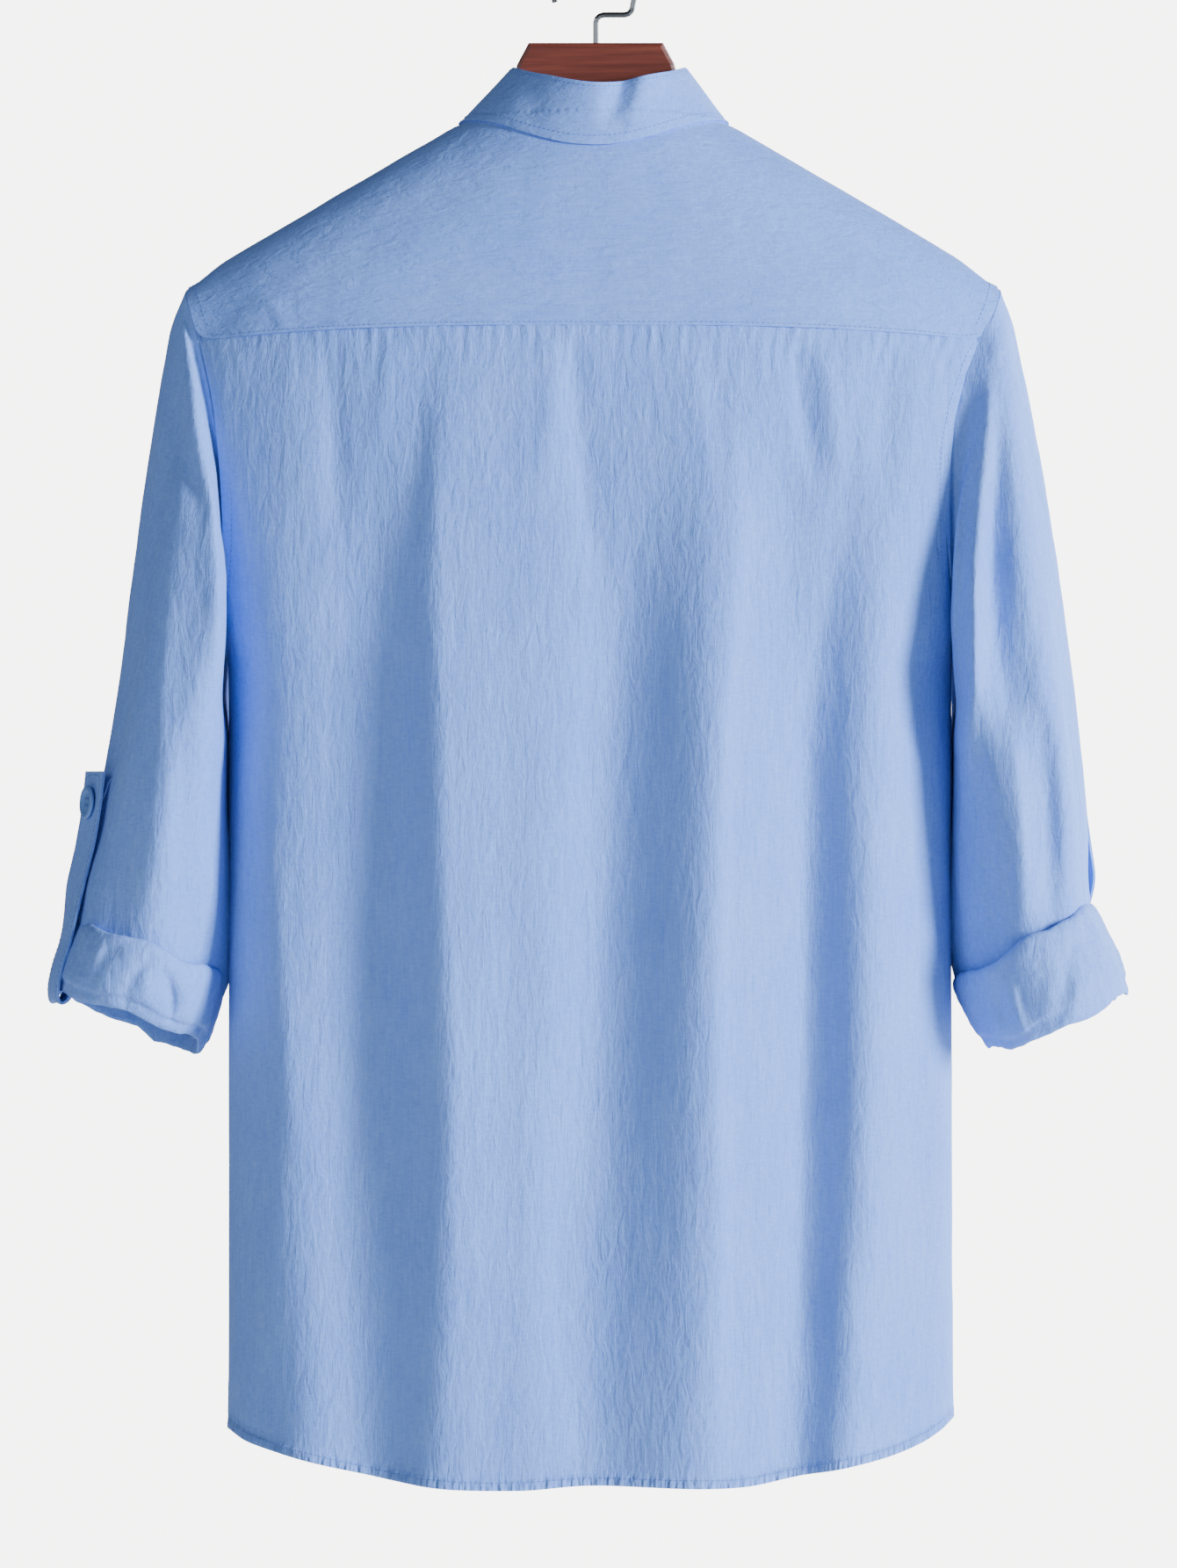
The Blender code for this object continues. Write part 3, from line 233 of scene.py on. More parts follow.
def outer_skin(node):
    """A solid's outer skin as a mesh of quads, without its inner skin and its edges."""
    bm = welded(node)
    crossing = {f for e in bm.edges for low, high in WALL_EDGES
                if low < e.calc_length() / MM < high for f in e.link_faces}
    bmesh.ops.delete(bm, geom=list(crossing), context="FACES")
    groups = sorted(connected(bm), key=len, reverse=True)[:2]
    keep = set(max(groups, key=facing_out))
    bmesh.ops.delete(bm, geom=[f for f in bm.faces if f not in keep], context="FACES")
    bmesh.ops.holes_fill(bm, edges=[e for e in bm.edges if e.is_boundary], sides=HOLE_SIDES)
    to_quads(bm)
    return bm


def whole_skin(node):
    """A solid's whole surface as a mesh of quads."""
    bm = welded(node)
    to_quads(bm)
    return bm


def with_modifier(piece, kind, **settings):
    modifier = piece.modifiers.new(kind.title(), kind)
    for key, value in settings.items():
        setattr(modifier, key, value)
    graph = bpy.context.evaluated_depsgraph_get()
    mesh = bpy.data.meshes.new_from_object(piece.evaluated_get(graph))
    piece.modifiers.clear()
    old = piece.data
    piece.data = mesh
    mesh.name = piece.name
    bpy.data.meshes.remove(old)
    return piece


def finer(piece, levels):
    return with_modifier(piece, "SUBSURF", levels=levels, render_levels=levels,
                         boundary_smooth="PRESERVE_CORNERS")


def displaced(piece, height):
    """Moves each vertex along its normal by height(point), with the point in millimetres."""
    mesh = piece.data
    normals = [v.normal.copy() for v in mesh.vertices]
    for vertex, normal in zip(mesh.vertices, normals):
        vertex.co += normal * height(vertex.co / MM) * MM
    mesh.update()
    return piece


def crease_height(creases, p):
    """The creases' height at a point, each one soft across and fading at both ends."""
    total = 0.0
    for left, right, height, *points in creases:
        reach = 2.4 * max(left, right)
        nearest, gone, place, whole = reach, 0.0, 0.0, 0.0
        for (x0, z0), (x1, z1) in zip(points, points[1:]):
            dx, dz = x1 - x0, z1 - z0
            length = math.hypot(dx, dz)
            along = min(length, max(0.0, ((p.x - x0) * dx + (p.z - z0) * dz) / length))
            gap = math.hypot(p.x - x0 - dx * along / length, p.z - z0 - dz * along / length)
            if gap < abs(nearest):
                nearest = math.copysign(gap, ((p.x - x0) * -dz + (p.z - z0) * dx) or 1.0)
                place = gone + along
            gone += length
        if abs(nearest) < reach:
            width = right if nearest > 0 else left
            share = (place + right) / (gone + 2 * right)
            total += height * math.exp(-(nearest / width) ** 2) * math.sin(math.pi * share) ** 0.6
    return total


def crumple(p, size, seed):
    """Fine unevenness of hanging cloth, longer down than across."""
    return noise.noise(Vector((p.x / size, p.y / size + seed, p.z / (2.6 * size))))


def border_points(piece):
    """Points along the open edges of a skin, close together."""
    bm = bmesh.new()
    bm.from_mesh(piece.data)
    points = [v.co.copy() for e in bm.edges if e.is_boundary for v in e.verts]
    bm.free()
    return points


def border_tree(piece, wanted=None):
    """Finds how far a point lies from a skin's wanted borders."""
    points = [p for p in border_points(piece) if wanted is None or wanted(p / MM)]
    tree = KDTree(len(points))
    for i, p in enumerate(points):
        tree.insert(p, i)
    tree.balance()
    return tree


def turned_edges(piece, depth, reach, wanted=None):
    """A seam's folded edge: the skin dips towards its border and is drawn in along the stitches."""
    tree = border_tree(piece, wanted)

    def height(p):
        near = tree.find(p * MM)[2] / MM
        if near > 3 * reach:
            return 0.0
        fold = -depth * max(0.0, 1 - near / reach) ** 2
        pull = 0.35 * depth * math.exp(-((near - 2.2 * reach) / reach) ** 2)
        return fold - pull * (1 + 0.6 * noise.noise(p / 5.0))

    return displaced(piece, height)


def allowance(piece, wanted, shift):
    """Carries a skin's border on under its neighbour, as the cloth inside a seam is."""
    bm = bmesh.new()
    bm.from_mesh(piece.data)
    border = [e for e in bm.edges if e.is_boundary and all(wanted(v.co / MM) for v in e.verts)]
    made = bmesh.ops.extrude_edge_only(bm, edges=border)["geom"]
    for vertex in (v for v in made if isinstance(v, bmesh.types.BMVert)):
        vertex.co += Vector(shift(vertex.co / MM)) * MM
    bm.to_mesh(piece.data)
    bm.free()
    piece.data.update()
    return piece


def thickened(piece, thickness):
    return with_modifier(piece, "SOLIDIFY", thickness=thickness * MM, offset=-1.0)


def border_loops(piece):
    """A skin's borders as rings of points in order, in millimetres."""
    bm = bmesh.new()
    bm.from_mesh(piece.data)
    left = {e for e in bm.edges if e.is_boundary}
    loops = []
    while left:
        edge = left.pop()
        ring = [edge.verts[0], edge.verts[1]]
        while ring[-1] is not ring[0]:
            follow = [e for e in ring[-1].link_edges if e in left]
            if not follow:
                break
            left.discard(follow[0])
            ring.append(follow[0].other_vert(ring[-1]))
        loops.append([v.co / MM for v in ring])
    bm.free()
    return loops


def runs(loop, wanted):
    """The parts of a ring whose points are wanted."""
    start = next((i for i, p in enumerate(loop) if not wanted(p)), 0)
    found, run = [], []
    for p in loop[start:] + loop[1:start + 1]:
        if wanted(p):
            run.append(p)
        elif run:
            found.append(run)
            run = []
    if run:
        found.append(run)
    return [r for r in found if len(r) > 2]


def spaced(line, pitch):
    """Points at an even pitch along a line, each with its direction."""
    made, want, gone = [], pitch / 2, 0.0
    for a, b in zip(line, line[1:]):
        step = (b - a).length
        while step and gone + step >= want:
            made.append((a.lerp(b, (want - gone) / step), (b - a).normalized()))
            want += pitch
        gone += step
    return made


def smoothed(line, times=3):
    for _ in range(times):
        line = [line[0]] + [(a + 2 * b + c) / 4 for a, b, c in zip(line, line[1:], line[2:])] + [line[-1]]
    return line


def seam_line(surface, line, inset):
    """A line on the cloth, this far in from its border."""
    made = []
    for point, along in spaced(smoothed(line), 3.0):
        normal = surface.find_nearest(point * MM)[1]
        inward = normal.cross(along).normalized()
        ends = [surface.find_nearest((point + inward * sign * inset) * MM) for sign in (1, -1)]
        misses = [end[3] for end in ends]
        made.append(ends[misses.index(min(misses))][0] / MM)
    return smoothed(made, 4)


def thread_ring(bm, middle, side, up, radius):
    """Six points round a thread, in millimetres."""
    turns = (k * math.pi / 3 for k in range(6))
    return [bm.verts.new((middle + (side * math.cos(a) + up * math.sin(a)) * radius) * MM) for a in turns]


def closed_tube(bm, rings):
    """Joins rings that have the same number of points, and closes both ends."""
    count = len(rings[0])
    for a, b in zip(rings, rings[1:]):
        for k in range(count):
            bm.faces.new((a[k], a[(k + 1) % count], b[(k + 1) % count], b[k]))
    bm.faces.new(rings[0][::-1])
    bm.faces.new(rings[-1])


# A stitch's rings. Columns: place along it as a share of its length, then height above the cloth and
# radius, both as shares of the thread's radius.
STITCH_RINGS = ((-0.5, -0.9, 0.5), (-0.36, 0.25, 0.95), (0.36, 0.25, 0.95), (0.5, -0.9, 0.5))


def add_stitch(bm, centre, along, out, length, thick):
    """One stitch: a short thread that rises from the cloth and dives back into it."""
    side = along.cross(out).normalized()
    rings = []
    for t, rise, wide in STITCH_RINGS:
        middle = centre + along * (t * length) + out * (rise * thick)
        rings.append(thread_ring(bm, middle, side, out, wide * thick))
    closed_tube(bm, rings)


def sew(bm, surface, line, settings):
    """A row of stitches along a line on the cloth."""
    for point, along in spaced(line, settings.pitch / MM):
        place, normal = surface.find_nearest(point * MM)[:2]
        along = (along - normal * along.dot(normal)).normalized()
        add_stitch(bm, place / MM, along, normal, settings.length / MM, settings.thick / MM)


def shade(piece, material, angle=40):
    piece.data.materials.clear()
    piece.data.materials.append(material)
    piece.data.shade_smooth()
    piece.data.set_sharp_from_angle(angle=math.radians(angle))
    return piece


def mark(piece, name, value):
    """A number at each vertex, for the material."""
    data = piece.data.attributes.new(name, "FLOAT", "POINT")
    for i, vertex in enumerate(piece.data.vertices):
        data.data[i].value = value(vertex.co / MM)


# Materials

def srgb(code):
    """A colour's hex code as the linear numbers that a shader takes."""
    parts = [int(code[i:i + 2], 16) / 255 for i in (1, 3, 5)]
    return tuple(c / 12.92 if c <= 0.04045 else ((c + 0.055) / 1.055) ** 2.4 for c in parts) + (1.0,)


def add(tree, kind, settings=None, links=None):
    """Adds a node. Settings are its fields and its sockets' values, links are other nodes' outputs.

    A socket goes by its name, or by its number where two have the same name.
    """
    node = tree.nodes.new("ShaderNode" + kind)
    for key, value in (settings or {}).items():
        if isinstance(key, int) or key in node.inputs:
            node.inputs[key].default_value = value
        else:
            setattr(node, key, value)
    for key, source in (links or {}).items():
        tree.links.new(node.inputs[key], source)
    return node


def new_material(name, colour, roughness, sockets=None):
    material = bpy.data.materials.new(name)
    material.use_nodes = True
    shader = material.node_tree.nodes["Principled BSDF"]
    shader.inputs["Base Color"].default_value = srgb(colour)
    shader.inputs["Roughness"].default_value = roughness
    for key, value in (sockets or {}).items():
        shader.inputs[key].default_value = value
    return material, material.node_tree, shader


def grain_mapping(tree, across, along, lengthwise=True):
    """Coordinates that make noise cells this many millimetres across and along the yarn."""
    place = add(tree, "TexCoord").outputs["Object"]
    scale = (1 / (across * MM), 1 / (across * MM), 1 / (along * MM))
    if not lengthwise:
        scale = (scale[2], scale[0], scale[0])
    return add(tree, "Mapping", {"Scale": scale}, {"Vector": place}).outputs["Vector"]


def cloth_material(name, settings, lengthwise=True):
    """Cotton woven plain with uneven yarns: matt and soft, with a faint sheen where it turns away."""
    sheen = {"Sheen Weight": settings.sheen, "Sheen Roughness": 0.5}
    material, tree, shader = new_material(name, "#8FB0E4", 0.86, sheen)

    # Yarns lie well under 1 mm apart, too fine to show, so the slubs and the weft are drawn 1 mm wide.
    # Columns: width and length of a noise's cells in millimetres, its settings, and whether they lie
    # lengthwise.
    noises = {
        "weave": (0.5, 0.7, {"Detail": 2.0}, True),
        "slub": (1.0, 18.0, {"Detail": 3.0, "Roughness": 0.6}, lengthwise),
        "weft": (4.0, 1.0, {"Detail": 3.0}, lengthwise),
        "patch": (30.0, 60.0, {"Detail": 2.0}, lengthwise),
        "wrinkles": (5.0, 17.0, {"Detail": 4.0, "Roughness": 0.62, "Distortion": 0.5}, lengthwise),
        "puckers": (3.4, 14.0, {"Detail": 1.0}, True),
    }
    grain = {}
    for key, (across, along, values, follows) in noises.items():
        place = grain_mapping(tree, across, along, follows)
        grain[key] = add(tree, "TexNoise", {"Scale": 1.0, **values}, {"Vector": place}).outputs["Fac"]

    yarns = add(tree, "Math", {"operation": "ADD"}, {0: grain["slub"], 1: grain["weft"]}).outputs[0]
    faded = add(tree, "Math", {"operation": "MULTIPLY", 1: 0.5}, {0: grain["patch"]}).outputs[0]
    whole = add(tree, "Math", {"operation": "ADD"}, {0: yarns, 1: faded}).outputs[0]
    share = add(tree, "MapRange", {"From Min": 0.75, "From Max": 1.75}, {"Value": whole}).outputs["Result"]
    ramp = add(tree, "ValToRGB", links={"Fac": share})
    ramp.color_ramp.elements[0].color = settings.dark_colour
    ramp.color_ramp.elements[1].color = settings.light_colour
    tree.links.new(shader.inputs["Base Color"], ramp.outputs["Color"])

    # Puckers show where the stitched hem draws the cloth together.
    near_seam = add(tree, "Attribute", {"attribute_name": "pucker"}).outputs["Fac"]
    held = add(tree, "Math", {"operation": "MULTIPLY"}, {0: grain["puckers"], 1: near_seam}).outputs[0]
    # The relief's layers, each over the one before. Columns: height, strength, and depth in metres.
    layers = (
        (grain["weave"], settings.weave, 0.12 * MM),
        (grain["slub"], 0.5, 0.25 * MM),
        (grain["wrinkles"], 1.0, settings.wrinkle),
        (held, 1.0, 5.0 * MM),
    )
    under = {}
    for height, strength, depth in layers:
        bump = add(tree, "Bump", {"Strength": strength, "Distance": depth}, {"Height": height, **under})
        under = {"Normal": bump.outputs["Normal"]}
    tree.links.new(shader.inputs["Normal"], under["Normal"])
    return material


def thread_material(name):
    """Spun polyester sewing thread: matt, its colour set a little darker than the cloth as painted shade for
    the shadow in the stitch holes, so that each stitch shows.
    """
    # painted shade: the thread is coloured darker than the cloth, standing for the shade in the stitch holes
    return new_material(name, "#5176BD", 0.6)[0]


def button_material(name):
    """Dyed polyester resin, turned and tumbled: smooth, with soft broad highlights."""
    return new_material(name, "#5F88D0", 0.4, {"Coat Weight": 0.12, "Coat Roughness": 0.3})[0]


def wood_material(name):
    """Mahogany under satin varnish: red-brown, its grain along the hanger's arms, with a low gloss."""
    material, tree, shader = new_material(name, "#7A3326", 0.5, {"Coat Weight": 0.15, "Coat Roughness": 0.3})
    place = grain_mapping(tree, 2.2, 60.0, lengthwise=False)
    noise_values = {"Scale": 1.0, "Detail": 5.0, "Distortion": 0.4}
    rings = add(tree, "TexNoise", noise_values, {"Vector": place}).outputs["Fac"]
    ramp = add(tree, "ValToRGB", links={"Fac": rings})
    for stop, position, colour in zip(ramp.color_ramp.elements, (0.35, 0.68), ("#521D13", "#6E3022")):
        stop.position = position
        stop.color = srgb(colour)
    tree.links.new(shader.inputs["Base Color"], ramp.outputs["Color"])
    pores = add(tree, "Bump", {"Strength": 0.15, "Distance": 0.1 * MM}, {"Height": rings})
    tree.links.new(shader.inputs["Normal"], pores.outputs["Normal"])
    return material


def steel_material(name):
    """Chromed steel wire: it mirrors its surroundings and reads as dark grey."""
    return new_material(name, "#55585C", 0.22, {"Metallic": 1.0})[0]


def material_of(name, make, *values, **options):
    """The material of that name, made the first time that a piece needs it."""
    return bpy.data.materials.get(name) or make(name, *values, **options)


def cloth():
    """The cloth with its warp hanging down."""
    settings = bpy.context.scene.shirt_cloth
    return material_of("blue_cotton_plain_weave", cloth_material, settings)


def cross_cloth():
    """The same cloth cut across, for the yoke and the collar."""
    settings = bpy.context.scene.shirt_cloth
    return material_of("blue_cotton_cross_grain", cloth_material, settings, lengthwise=False)


# Cloth pieces

# The borders and the surface of each finished skin, for the stitches.
SKINS = {}


def finished(piece, node):
    """Keeps a skin's borders and its surface, for the stitches."""
    mesh = piece.data
    surface = BVHTree.FromPolygons([v.co for v in mesh.vertices], [p.vertices for p in mesh.polygons])
    SKINS[node] = (border_loops(piece), surface)


def ready(piece, node):
    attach(piece, "root")
    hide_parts(node)


def dressed(piece, node, material, sharp=40):
    """Gives a cloth piece its material and its node."""
    shade(piece, material, sharp)
    ready(piece, node)


def is_hem(p):
    return p.z < HEM_TOP and abs(p.x) < 207


def is_panel_seam(p):
    return p.z > PANEL_SEAMS


def is_neck(p):
    return math.hypot(p.x, p.y) < NECK_REACH


def gather_height(p):
    """Small gathers that hang from the yoke's seam, uneven in length, depth and spacing."""
    drop = -221.0 - 6.0 * abs(p.x / 205.0) ** 3 - p.z
    if drop > 60:
        return 0.0
    place = p.x / 4.7 + 0.9 * math.sin(p.x * 0.11) + 0.6 * math.sin(p.x * 0.37 + 1.0)
    reach = 8.0 + 5.0 * math.sin(p.x * 0.23 + 0.5) + 4.0 * math.sin(p.x * 0.071)
    depth = 0.02 + 0.13 * smooth(0.5 + 0.5 * math.sin(p.x * 0.19 + 2.0) + 0.3 * math.sin(p.x * 0.053))
    return depth * math.sin(place * math.pi) * math.exp(-(max(0.0, drop) / max(5.0, reach)) ** 2)


def panel(node, gathered=False):
    """A back or front panel: its folds, its gathers, its turned hem and its seams' edges."""
    settings = bpy.context.scene.shirt_cloth
    piece = finer(mesh_object(node + "_cloth", outer_skin(node)), 2)
    inside = border_tree(piece)
    hem = border_tree(piece, is_hem)

    def height(p):
        free = smooth(inside.find(p * MM)[2] / MM / 14.0)
        total = settings.crease * crease_height(CREASES[node], p)
        total += 0.5 * crumple(p, 17.0, 3.0) + 0.22 * crumple(p, 6.0, 8.0)
        total *= free
        total += 0.45 * smooth((HEM_FOLD - hem.find(p * MM)[2] / MM) / 1.5)
        return total + (gather_height(p) if gathered else 0.0)

    displaced(piece, height)
    turned_edges(piece, 0.9, 1.6, is_panel_seam)
    finished(piece, node)
    # Under the yoke the back's edge goes up, and a front's follows the shoulder's slope.
    under = (0, 1.3, 4.0) if node == "back_panel" else (0, -3.9, 1.5)
    allowance(piece, is_panel_seam, lambda p: under)
    mark(piece, "pucker", lambda p: math.exp(-(hem.find(p * MM)[2] / MM / 5.0) ** 2))
    thickened(piece, settings.thickness / MM)
    dressed(piece, node, cloth())


def yoke_piece():
    """The yoke, whose edges lap over the panels at the seams."""
    settings = bpy.context.scene.shirt_cloth
    piece = finer(mesh_object("yoke_cloth", outer_skin("yoke")), 3)
    displaced(piece, lambda p: settings.crease * crease_height(CREASES["yoke"], p)
              + 0.3 * crumple(p, 20.0, 5.0))
    seams = border_tree(piece, lambda p: p.z < YOKE_SEAMS or on_front_seam(p))
    for vertex in piece.data.vertices:
        p = vertex.co / MM
        near = smooth((9.0 - seams.find(vertex.co)[2] / MM) / 8.0)
        vertex.co.y += math.copysign(0.7 * near, p.y) * MM
        vertex.co.z -= 0.7 * near * MM
    piece.data.update()
    turned_edges(piece, 1.0, 2.0, is_neck)
    soften_tips(piece)
    finished(piece, "yoke")
    allowance(piece, is_neck, lambda p: (-0.03 * p.x, -0.03 * p.y, 4.0))
    thickened(piece, settings.thickness / MM)
    dressed(piece, "yoke", cross_cloth())


SHOULDER_TIPS = (Vector((-234, 0, -192)), Vector((228, 0, -192)))


def soften_tips(piece):
    """The sleeve's head rounds off at the shoulder, where nothing holds the cloth up."""
    for vertex in piece.data.vertices:
        p = vertex.co / MM
        for tip in SHOULDER_TIPS:
            near = smooth(1 - (p - tip).length / 30)
            vertex.co += Vector((-math.copysign(2.6, tip.x), 0, -3.4)) * near * MM
    piece.data.update()


def press_in(piece, side):
    """The sleeve's inner edge lies against the body's side."""
    toward = 1 if side == "left" else -1
    edge, low = {"left": (210.5, 7.5), "right": (206.5, 5.5)}[side]
    for vertex in piece.data.vertices:
        p = vertex.co / MM
        fall = smooth((-480 - p.z) / 80)
        near = smooth((edge + 6 * fall + 12.0 - abs(p.x)) / 12.0)
        shift = (2.6 + low * fall * (0.4 + 0.6 * smooth((p.y + 25) / 25))) * smooth((-425 - p.z) / 30)
        vertex.co.x += toward * shift * near * MM
        if side == "left":
            vertex.co.x -= 5.0 * smooth((-495 - p.z) / 45) * smooth((-268 - p.x) / 12) * MM
    piece.data.update()


def tuck_tab_end(piece):
    """The right sleeve's turned end rises a little where the tab passes under it."""
    for vertex in piece.data.vertices:
        p = vertex.co / MM
        vertex.co.z += 7.0 * smooth((-592 - p.z) / 20) * smooth((p.x - 258) / 12) * smooth(p.y / 15) * MM
    piece.data.update()


def sleeve_piece(side):
    """A sleeve down to its roll. Its folds move the cloth along Y only, which keeps its outline."""
    settings = bpy.context.scene.shirt_cloth
    node = "sleeve_" + side
    piece = finer(mesh_object(node + "_cloth", outer_skin(node)), 3)
    for vertex in piece.data.vertices:
        p = vertex.co / MM
        share = 0.3 + 0.7 * smooth((8.0 - p.y) / 16.0)
        vertex.co.y -= settings.crease * crease_height(CREASES[node], p) * share * MM
    piece.data.update()
    displaced(piece, lambda p: 0.5 * crumple(p, 13.0, 1.0) + 0.25 * crumple(p, 5.0, 6.0))
    press_in(piece, side)
    soften_tips(piece)
    if side == "right":
        tuck_tab_end(piece)
    inward = -6.0 if side == "right" else 6.0
    allowance(piece, lambda p: p.z > SLEEVE_SEAMS, lambda p: (inward, -0.03 * p.y, -1.0))
    thickened(piece, settings.thickness / MM)
    dressed(piece, node, cloth())


def roll_piece(side):
    """A rolled sleeve end, full on its back and hanging unevenly at its lower edge."""
    node = "roll_" + side
    piece = finer(mesh_object(node + "_cloth", whole_skin(node)), 3)
    facing = 1 if side == "left" else -1
    out, level = ROLL_MIDDLE
    displaced(piece, lambda p: 0.9 * noise.noise(Vector((p.x / 11, p.y / 11, p.z / 15)))
              + 0.3 * noise.noise(p / 4.5))
    # The normals are read before any point moves, because each read after a move works all of them out again.
    normals = [vertex.normal.copy() for vertex in piece.data.vertices]
    for vertex, normal in zip(piece.data.vertices, normals):
        p = vertex.co / MM
        from_middle = Vector((p.x + out * facing, p.y, 0))
        # the back leans out and bulges, except where the tab holds it
        height = p.z - level - 0.12 * facing * from_middle.x
        free = smooth((BACK_SIDE - p.y) / 24) * smooth(abs(p.x - STRAPS[side]) / 16)
        is_outside = normal.dot(from_middle.normalized()) > 0.2
        bulge = is_outside * 2.4 * max(0.0, 1 - (height / 26) ** 2)
        vertex.co.y -= (0.16 * height + bulge) * free * MM
        # the lower edge sags, and the upper one waves
        below = smooth((-584 - p.z) / 22) * smooth((facing * p.y + 4) / 14)
        vertex.co.z -= float(np.interp(p.x, *ROLL_DROPS[side])) * below * MM
        wave = 1.5 * noise.noise(Vector((p.x / 12, p.y / 40, 3.0)))
        vertex.co.z += wave * smooth((p.z + 585) / 15) * MM
        vertex.co.y -= crease_height(CREASES[node], p) * smooth((BACK_SIDE - p.y) / 20) * MM
        if side == "right":
            vertex.co.x -= 2.0 * smooth((218 - p.x) / 12) * MM
    if side == "right":
        tuck_tab_end(piece)
    dressed(piece, node, cloth(), sharp=60)


def collar_piece():
    """The standing collar, with its dents at the back and its foot lapped over the yoke."""
    piece = finer(mesh_object("collar_cloth", outer_skin("collar")), 3)
    displaced(piece, lambda p: 0.25 * crumple(p, 14.0, 2.0))
    for vertex in piece.data.vertices:
        p = vertex.co / MM
        vertex.co.y -= crease_height(CREASES["collar"], p) * smooth((BACK_SIDE - p.y) / 10) * MM
        if on_collar_foot(p):
            out = Vector((p.x, p.y, 0)).normalized()
            vertex.co += out * 0.7 * MM
    piece.data.update()
    turned_edges(piece, 0.3, 1.2)
    finished(piece, "collar")
    thickened(piece, COLLAR_LAYERS)
    dressed(piece, "collar", cross_cloth())


def placket_piece():
    """The button band."""
    piece = finer(mesh_object("placket_cloth", outer_skin("placket")), 3)
    displaced(piece, lambda p: 0.35 * crumple(p, 12.0, 4.0))
    turned_edges(piece, 0.4, 1.2)
    finished(piece, "placket")
    thickened(piece, PLACKET_LAYERS)
    dressed(piece, "placket", cloth())


def tab_piece(side):
    """A tab that holds its sleeve's roll up."""
    node = "tab_" + side
    piece = finer(mesh_object(node + "_cloth", outer_skin(node)), 3)
    displaced(piece, lambda p: 0.25 * noise.noise(p / 9.0))
    if side == "right":
        tuck_tab_end(piece)
    turned_edges(piece, 0.4, 1.0)
    finished(piece, node)
    thickened(piece, TAB_LAYERS)
    dressed(piece, node, cloth())


# Stitches and buttons

def on_back_seam(p):
    return p.y < 0 and p.z < YOKE_SEAMS and abs(p.x) < 221


def on_front_seam(p):
    return p.y > 3 and math.hypot(p.x, p.y) > NECK_REACH and abs(p.x) < 219


def on_shoulder_end(p):
    return abs(p.x) > 216


def on_armhole(p):
    return -402 < p.z < -229 and abs(p.x) > 190


def on_panel_hem(p):
    return p.z < HEM_TOP and 17 < abs(p.x) < 200 or p.z < -860


def on_collar_foot(p):
    return p.z < -100 - 20 * (p.y > 0) and abs(math.atan2(p.x, p.y)) > 0.35


# Each row of stitches: the piece, which part of its border it follows, and how far in from it.
SEAMS = (
    ("yoke", on_back_seam, 1.8),
    ("yoke", on_front_seam, 1.8),
    ("yoke", on_shoulder_end, 7.0),
    ("back_panel", on_armhole, 7.0),
    ("front_left", on_armhole, 7.0),
    ("front_right", on_armhole, 7.0),
    ("back_panel", on_panel_hem, 4.6),
    ("front_left", on_panel_hem, 4.6),
    ("front_right", on_panel_hem, 4.6),
    ("collar", lambda p: not on_collar_foot(p), 2.4),
    ("collar", on_collar_foot, 5.0),
    ("placket", lambda p: abs(p.x) > 14.5, 5.0),
    ("tab_left", lambda p: True, 2.2),
    ("tab_right", lambda p: True, 2.2),
)


def stitch_rows():
    """Sews each piece's rows, as one mesh a piece."""
    settings = bpy.context.scene.shirt_stitches
    for node in sorted({row[0] for row in SEAMS}):
        loops, surface = SKINS[node]
        bm = bmesh.new()
        for name, wanted, inset in SEAMS:
            if name != node:
                continue
            for loop in loops:
                for run in runs(loop, wanted):
                    sew(bm, surface, seam_line(surface, run, inset), settings)
        piece = mesh_object(node + "_stitches", bm)
        shade(piece, material_of("blue_sewing_thread", thread_material), 80)
        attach(piece, "root")


def button_frame(node):
    """A button's middle, its axis away from the cloth, its radius and its thickness, in millimetres."""
    points = np.array([v.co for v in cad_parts[node].data.vertices]) / MM
    middle = points.mean(0)
    axis = np.linalg.svd(points - middle, full_matrices=False)[2][2]
    if axis @ np.array((middle[0], middle[1], 0.0)) < 0:
        axis = -axis
    heights = (points - middle) @ axis
    flat = points - middle - np.outer(heights, axis)
    foot = Vector(middle + axis * heights.min())
    return foot, Vector(axis), np.linalg.norm(flat, axis=1).max(), np.ptp(heights)


# A button's outline. Columns: share of the radius, share of the thickness.
BUTTON_PROFILE = (
    (0.30, 0.55), (0.50, 0.57), (0.60, 0.66), (0.68, 0.88), (0.76, 0.98), (0.84, 1.0),
    (0.92, 0.95), (0.98, 0.82), (1.0, 0.62), (0.98, 0.42), (0.88, 0.16), (0.7, 0.0),
)
BUTTON_SIDES = 40
HOLE_PLACES = ((1, 1), (-1, 1), (-1, -1), (1, -1))
HOLE_OUT = 0.19  # how far out the holes lie, and their radius, as shares of the button's radius
HOLE_RADIUS = 0.09


